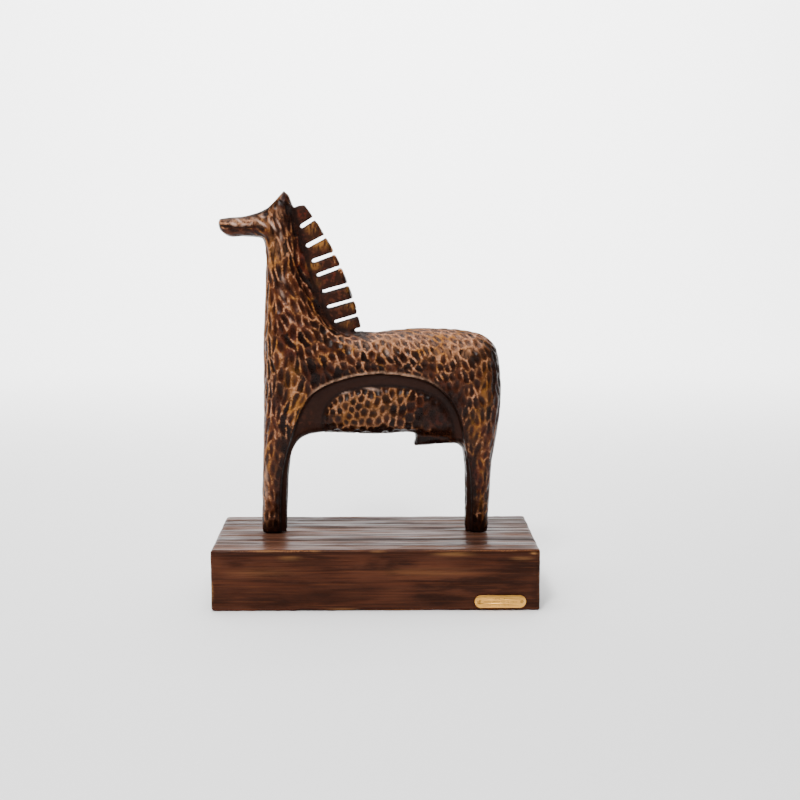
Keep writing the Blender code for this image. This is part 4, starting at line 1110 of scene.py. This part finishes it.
def plinth_wood(settings, top):
    """Red-brown stained wood with brushed grain along x, a satin lacquer and worn edges."""
    wood = NodeTree("stained_plinth_wood")
    even = wood.place()
    streaks = wood.noise(wood.place(0.045), 420.0, 5.0, 0.6, 0.3)
    lines = wood.noise(wood.place(0.02), 1100.0, 3.0, 0.6)
    clouds = wood.noise(wood.place(0.20), 110.0, 4.0, 0.55)
    warmth = wood.noise(wood.place(0.30), 45.0, 2.0)
    fine = wood.noise(even, 1500.0, 3.0)
    boards = wood.noise(wood.place(0.055), 95.0, 4.0, 0.6)
    pores = wood.noise(wood.place(0.2), 1900.0, 2.0)
    spot = wood.add("ShaderNodeSeparateXYZ", {0: even})
    facing = wood.add("ShaderNodeSeparateXYZ",
                      {0: wood.add("ShaderNodeNewGeometry").outputs["Normal"]})
    red, dark = settings.wood_red, settings.wood_dark

    # The stain with its warm and dark clouds, and the greyer boards of the top
    color = wood.blend(wood.ease(streaks, 0.34, 0.66, 0.30, 1.0), dark, red)
    color = wood.blend(wood.ease(warmth, 0.42, 0.62, 0.0, 0.6), color,
                       (1.50 * red[0], 1.64 * red[1], 1.75 * red[2]))
    color = wood.blend(wood.ease(clouds, 0.50, 0.68, 0.0, 0.85), color, dark)
    stain = wood.times(wood.attribute("stained"), wood.ease(clouds, 0.30, 0.60, 0.30, 1.0))
    color = wood.blend(stain, color, dark)
    upward = wood.ease(facing.outputs["Z"], 0.6, 0.95)
    color = wood.blend(wood.times(upward, 0.66), color, (0.017, 0.0070, 0.0040))
    board = wood.times(upward, wood.ease(boards, 0.46, 0.62, 0.0, 0.80))
    color = wood.blend(board, color, (0.120, 0.050, 0.028))

    # The darker rim under the top edge, and the grain
    rim = wood.plus(wood.minus(top, spot.outputs["Z"]), wood.times(clouds, 0.004))
    rim = wood.times(wood.ease(rim, 0.0036, 0.0066, 0.75, 0.0),
                     wood.ease(facing.outputs["Z"], 0.2, 0.7, 1.0, 0.0))
    color = wood.blend(rim, color, dark)
    deep = wood.ease(wood.attribute("grain"), -0.05, 0.45, 0.8, 0.0)
    color = wood.blend(deep, color, darker(dark, 0.6))
    color = wood.blend(wood.ease(lines, 0.52, 0.72, 0.0, 0.55), color,
                       (1.9 * red[0], 2.1 * red[1], 1.9 * red[2]))
    color = wood.blend(wood.ease(lines, 0.28, 0.46, 0.55, 0.0), color, dark)

    # Growth rings and pores on the ends
    heart = wood.add("ShaderNodeMapping", {"Vector": even, "Location": (0.0, 0.022, 0.030)})
    rings = wood.add("ShaderNodeTexWave", {"Vector": heart.outputs["Vector"], "Scale": 70.0,
                                           "Distortion": 1.6, "Detail": 2.0, "Detail Scale": 0.8},
                     wave_type="RINGS", rings_direction="X").outputs["Fac"]
    endwise = wood.ease(wood.math("ABSOLUTE", facing.outputs["X"]), 0.6, 0.95)
    ends = wood.blend(wood.ease(rings, 0.35, 0.95, 0.0, 0.8), darker(red, 0.75), dark)
    ends = wood.blend(wood.ease(pores, 0.52, 0.72, 0.0, 0.6), ends, darker(dark, 0.6))
    color = wood.blend(wood.times(endwise, 0.85), color, ends)

    # Edges and places that handling wore
    edge = wood.plus(wood.attribute("to_edge"), wood.times(clouds, 4.0))
    worn = wood.times(wood.ease(edge, 1.9, 2.9, 0.8, 0.0), wood.ease(fine, 0.35, 0.6))
    color = wood.blend(worn, color, settings.wood_worn)
    rubbed = wood.times(wood.attribute("rubbed"), wood.ease(streaks, 0.35, 0.6, 0.2, 1.0))
    color = wood.blend(rubbed, color, (0.36, 0.17, 0.060))
    roughness = wood.plus(wood.ease(streaks, 0.3, 0.7, 0.22, 0.44),
                          wood.times(upward, wood.ease(clouds, 0.40, 0.62, 0.05, 0.24)))
    normal = wood.bump(lines, 0.22, 0.0003, wood.bump(streaks, 0.22, 0.0006))
    return wood.finish(color, roughness, normal, Specular_IOR_Level=0.05)


class HORSE_OT_brush_plinth(bpy.types.Operator):
    """Makes the plinth with its brushed grain and softened edges"""
    bl_idname = "horse_figurine.brush_plinth"
    bl_label = "Brush the plinth"

    def execute(self, context):
        settings = context.scene.plinth_finish
        low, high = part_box("plinth")
        plinth = lattice_box("grained_plinth", low, high, PLINTH_CUTS)
        shape_plinth(plinth, low, high, settings)
        finish_piece(plinth, plinth_wood(settings, high.z), "plinth")
        return {"FINISHED"}


def brushed_brass(name, color, roughness):
    """Brass brushed along its length, duller in its scratches."""
    brass = NodeTree(name)
    brush = brass.noise(brass.place(0.06), 5200.0, 3.0)
    cloud = brass.noise(brass.place(), 320.0, 2.0)
    tint = brass.blend(brass.ease(cloud, 0.3, 0.7, 0.0, 0.35), color, darker(color, 0.72))
    rough = brass.ease(brush, 0.3, 0.7, roughness - 0.06, roughness + 0.08)
    normal = brass.bump(brush, 0.12, 0.0001)
    return brass.finish(tint, rough, normal, Metallic=1.0)


def stroke_rows(middle, half_length):
    """Places of the engraved strokes: x, z, height and lean of each, in rows that spell nothing."""
    for row, (up, reach, height) in enumerate(STROKE_ROWS):
        count = int(2 * reach / STROKE_STEP)
        for number in range(count + 1):
            if (number * 3 + row) % 7 == 5:
                continue
            x = middle.x - reach + number * STROKE_STEP
            if abs(x - middle.x) < half_length:
                lean = 0.28 * math.sin(number * 2.1 + row)
                yield x, middle.z + up, height * (0.8 + 0.2 * math.cos(number * 1.7)), lean


class HORSE_OT_engrave_plate(bpy.types.Operator):
    """Makes the brass nameplate with rows of shallow strokes"""
    bl_idname = "horse_figurine.engrave_plate"
    bl_label = "Engrave the nameplate"

    def execute(self, context):
        settings = context.scene.plate_finish
        low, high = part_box("nameplate")
        middle = (low + high) / 2
        plate = copy_of_solid("nameplate", "engraved_nameplate")
        cutters = []
        for x, z, height, lean in stroke_rows(middle, (high.x - low.x) / 2 - PLATE_END):
            deselect_all()
            bpy.ops.mesh.primitive_cube_add(size=1.0)
            cutter = bpy.context.object
            cutter.scale = (settings.stroke_width, 2 * settings.stroke_depth, height)
            cutter.rotation_euler = (0.0, lean, 0.0)
            cutter.location = (x, low.y, z)
            cutters.append(cutter)
        deselect_all()
        for cutter in cutters:
            cutter.select_set(True)
        bpy.context.view_layer.objects.active = cutters[0]
        bpy.ops.object.join()
        strokes = bpy.context.object
        bpy.ops.object.transform_apply(location=True, rotation=True, scale=True)
        engrave = plate.modifiers.new("engrave", "BOOLEAN")
        engrave.operation = "DIFFERENCE"
        engrave.object = strokes
        apply_modifier(plate, engrave)
        bpy.data.objects.remove(strokes)
        finish_piece(plate, brushed_brass("brushed_brass", settings.brass_color, 0.34),
                     "nameplate")
        patina = brushed_brass("stroke_patina", darker(settings.brass_color, 0.30), 0.72)
        plate.data.materials.append(patina)
        for face in plate.data.polygons:
            away = face.center - middle
            sunk = (face.center.y - low.y) / settings.stroke_depth
            if (0.2 < sunk < 1.5 and abs(away.x) < STROKES_REACH[0]
                    and abs(away.z) < STROKES_REACH[1]):
                face.material_index = 1
        make_active(plate)
        bpy.ops.object.shade_smooth_by_angle(angle=math.radians(30))
        return {"FINISHED"}


class HORSE_OT_tint_pins(bpy.types.Operator):
    """Gives the two packed pins their aged brass"""
    bl_idname = "horse_figurine.tint_pins"
    bl_label = "Tint the pins"

    def execute(self, context):
        color = darker(context.scene.plate_finish.brass_color, 0.55)
        aged = brushed_brass("aged_brass", color, 0.42)
        for name in ("nameplate_pin_left", "nameplate_pin_right"):
            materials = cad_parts[name].data.materials
            materials.clear()
            materials.append(aged)
        return {"FINISHED"}


def soft_light(name, place, aim, size, power):
    """A rectangular soft light at a place, turned towards another."""
    light = bpy.data.lights.new(name, "AREA")
    light.shape = "RECTANGLE"
    light.size, light.size_y = size
    light.energy = power
    lamp = bpy.data.objects.new(name, light)
    lamp.location = place
    lamp.rotation_euler = (Vector(aim) - Vector(place)).to_track_quat("-Z", "Y").to_euler()
    bpy.context.scene.collection.objects.link(lamp)


def backdrop():
    """A pale floor that sweeps up into a wall behind."""
    deselect_all()
    bpy.ops.mesh.primitive_plane_add(size=6.0, location=(0.0, 0.0, 0.0))
    floor = bpy.context.object
    floor.name = "backdrop"
    work = bmesh.new()
    work.from_mesh(floor.data)
    edge = [edge for edge in work.edges if all(vert.co.y > 2.9 for vert in edge.verts)]
    for vert in edge[0].verts:
        vert.co.y = 2.0
    risen = bmesh.ops.extrude_edge_only(work, edges=edge)["geom"]
    for vert in risen:
        if isinstance(vert, bmesh.types.BMVert):
            vert.co.z += 0.80
    work.to_mesh(floor.data)
    work.free()
    bend = floor.modifiers.new("sweep", "BEVEL")
    bend.width = 0.7
    bend.segments = 16
    apply_modifier(floor, bend)
    floor.data.shade_smooth()
    paint = NodeTree("pale_floor")
    paint.shader.inputs["Base Color"].default_value = (0.90, 0.90, 0.90, 1.0)
    paint.shader.inputs["Roughness"].default_value = 0.75
    floor.data.materials.append(paint.material)


class HORSE_OT_set_stage(bpy.types.Operator):
    """Sets the pale floor, the soft lights and the camera"""
    bl_idname = "horse_figurine.set_stage"
    bl_label = "Set the stage"

    def execute(self, context):
        settings = context.scene.stage
        backdrop()
        powers = (settings.overhead_power, settings.key_power, settings.wall_power)
        for light, power in zip(LIGHTS, powers):
            soft_light(*light, power)
        world = bpy.data.worlds.new("room")
        world.use_nodes = True
        room = world.node_tree
        background = room.nodes["Background"]
        background.inputs["Color"].default_value = (1.0, 1.0, 1.0, 1.0)
        heading = room.nodes.new("ShaderNodeSeparateXYZ")
        dimmer = room.nodes.new("ShaderNodeMapRange")
        for key, value in (("From Min", -0.9), ("From Max", -0.1),
                           ("To Min", settings.front_strength), ("To Max", settings.sky_strength)):
            dimmer.inputs[key].default_value = value
        room.links.new(room.nodes.new("ShaderNodeTexCoord").outputs["Generated"], heading.inputs[0])
        room.links.new(heading.outputs["Y"], dimmer.inputs["Value"])
        room.links.new(dimmer.outputs["Result"], background.inputs["Strength"])
        context.scene.world = world
        lens = bpy.data.cameras.new("camera")
        lens.sensor_width = SENSOR_WIDTH
        lens.lens = settings.focal_length
        lens.clip_start = 0.01
        camera = bpy.data.objects.new("camera", lens)
        camera.location = CAMERA_PLACE
        camera.rotation_euler = (math.radians(90.0 - CAMERA_DOWN), 0.0,
                                 math.radians(CAMERA_ASIDE))
        context.scene.collection.objects.link(camera)
        context.scene.camera = camera
        return {"FINISHED"}


class HORSE_PT_sidebar(bpy.types.Panel):
    """Lists the steps that dress the horse"""
    bl_idname = "HORSE_PT_sidebar"
    bl_label = "Carved Horse"
    bl_space_type = "VIEW_3D"
    bl_region_type = "UI"
    bl_category = "Carved Horse"

    def draw(self, context):
        layout = self.layout
        for group, operator in ((context.scene.carving, HORSE_OT_carve_figure),
                                (context.scene.plinth_finish, HORSE_OT_brush_plinth),
                                (context.scene.plate_finish, HORSE_OT_engrave_plate),
                                (None, HORSE_OT_tint_pins),
                                (context.scene.stage, HORSE_OT_set_stage)):
            box = layout.box()
            for name in (group.__annotations__ if group else ()):
                box.prop(group, name)
            box.operator(operator.bl_idname)


CLASSES = (CarvingSettings, PlinthSettings, PlateSettings, StageSettings, HORSE_OT_carve_figure,
           HORSE_OT_brush_plinth, HORSE_OT_engrave_plate, HORSE_OT_tint_pins, HORSE_OT_set_stage,
           HORSE_PT_sidebar)


def register():
    for cls in CLASSES:
        bpy.utils.register_class(cls)
    bpy.types.Scene.carving = PointerProperty(type=CarvingSettings)
    bpy.types.Scene.plinth_finish = PointerProperty(type=PlinthSettings)
    bpy.types.Scene.plate_finish = PointerProperty(type=PlateSettings)
    bpy.types.Scene.stage = PointerProperty(type=StageSettings)


def unregister():
    for name in ("stage", "plate_finish", "plinth_finish", "carving"):
        delattr(bpy.types.Scene, name)
    for cls in reversed(CLASSES):
        bpy.utils.unregister_class(cls)


def main():
    register()
    bpy.ops.horse_figurine.carve_figure()
    bpy.ops.horse_figurine.brush_plinth()
    bpy.ops.horse_figurine.engrave_plate()
    bpy.ops.horse_figurine.tint_pins()
    bpy.ops.horse_figurine.set_stage()


if __name__ == "__main__":
    main()
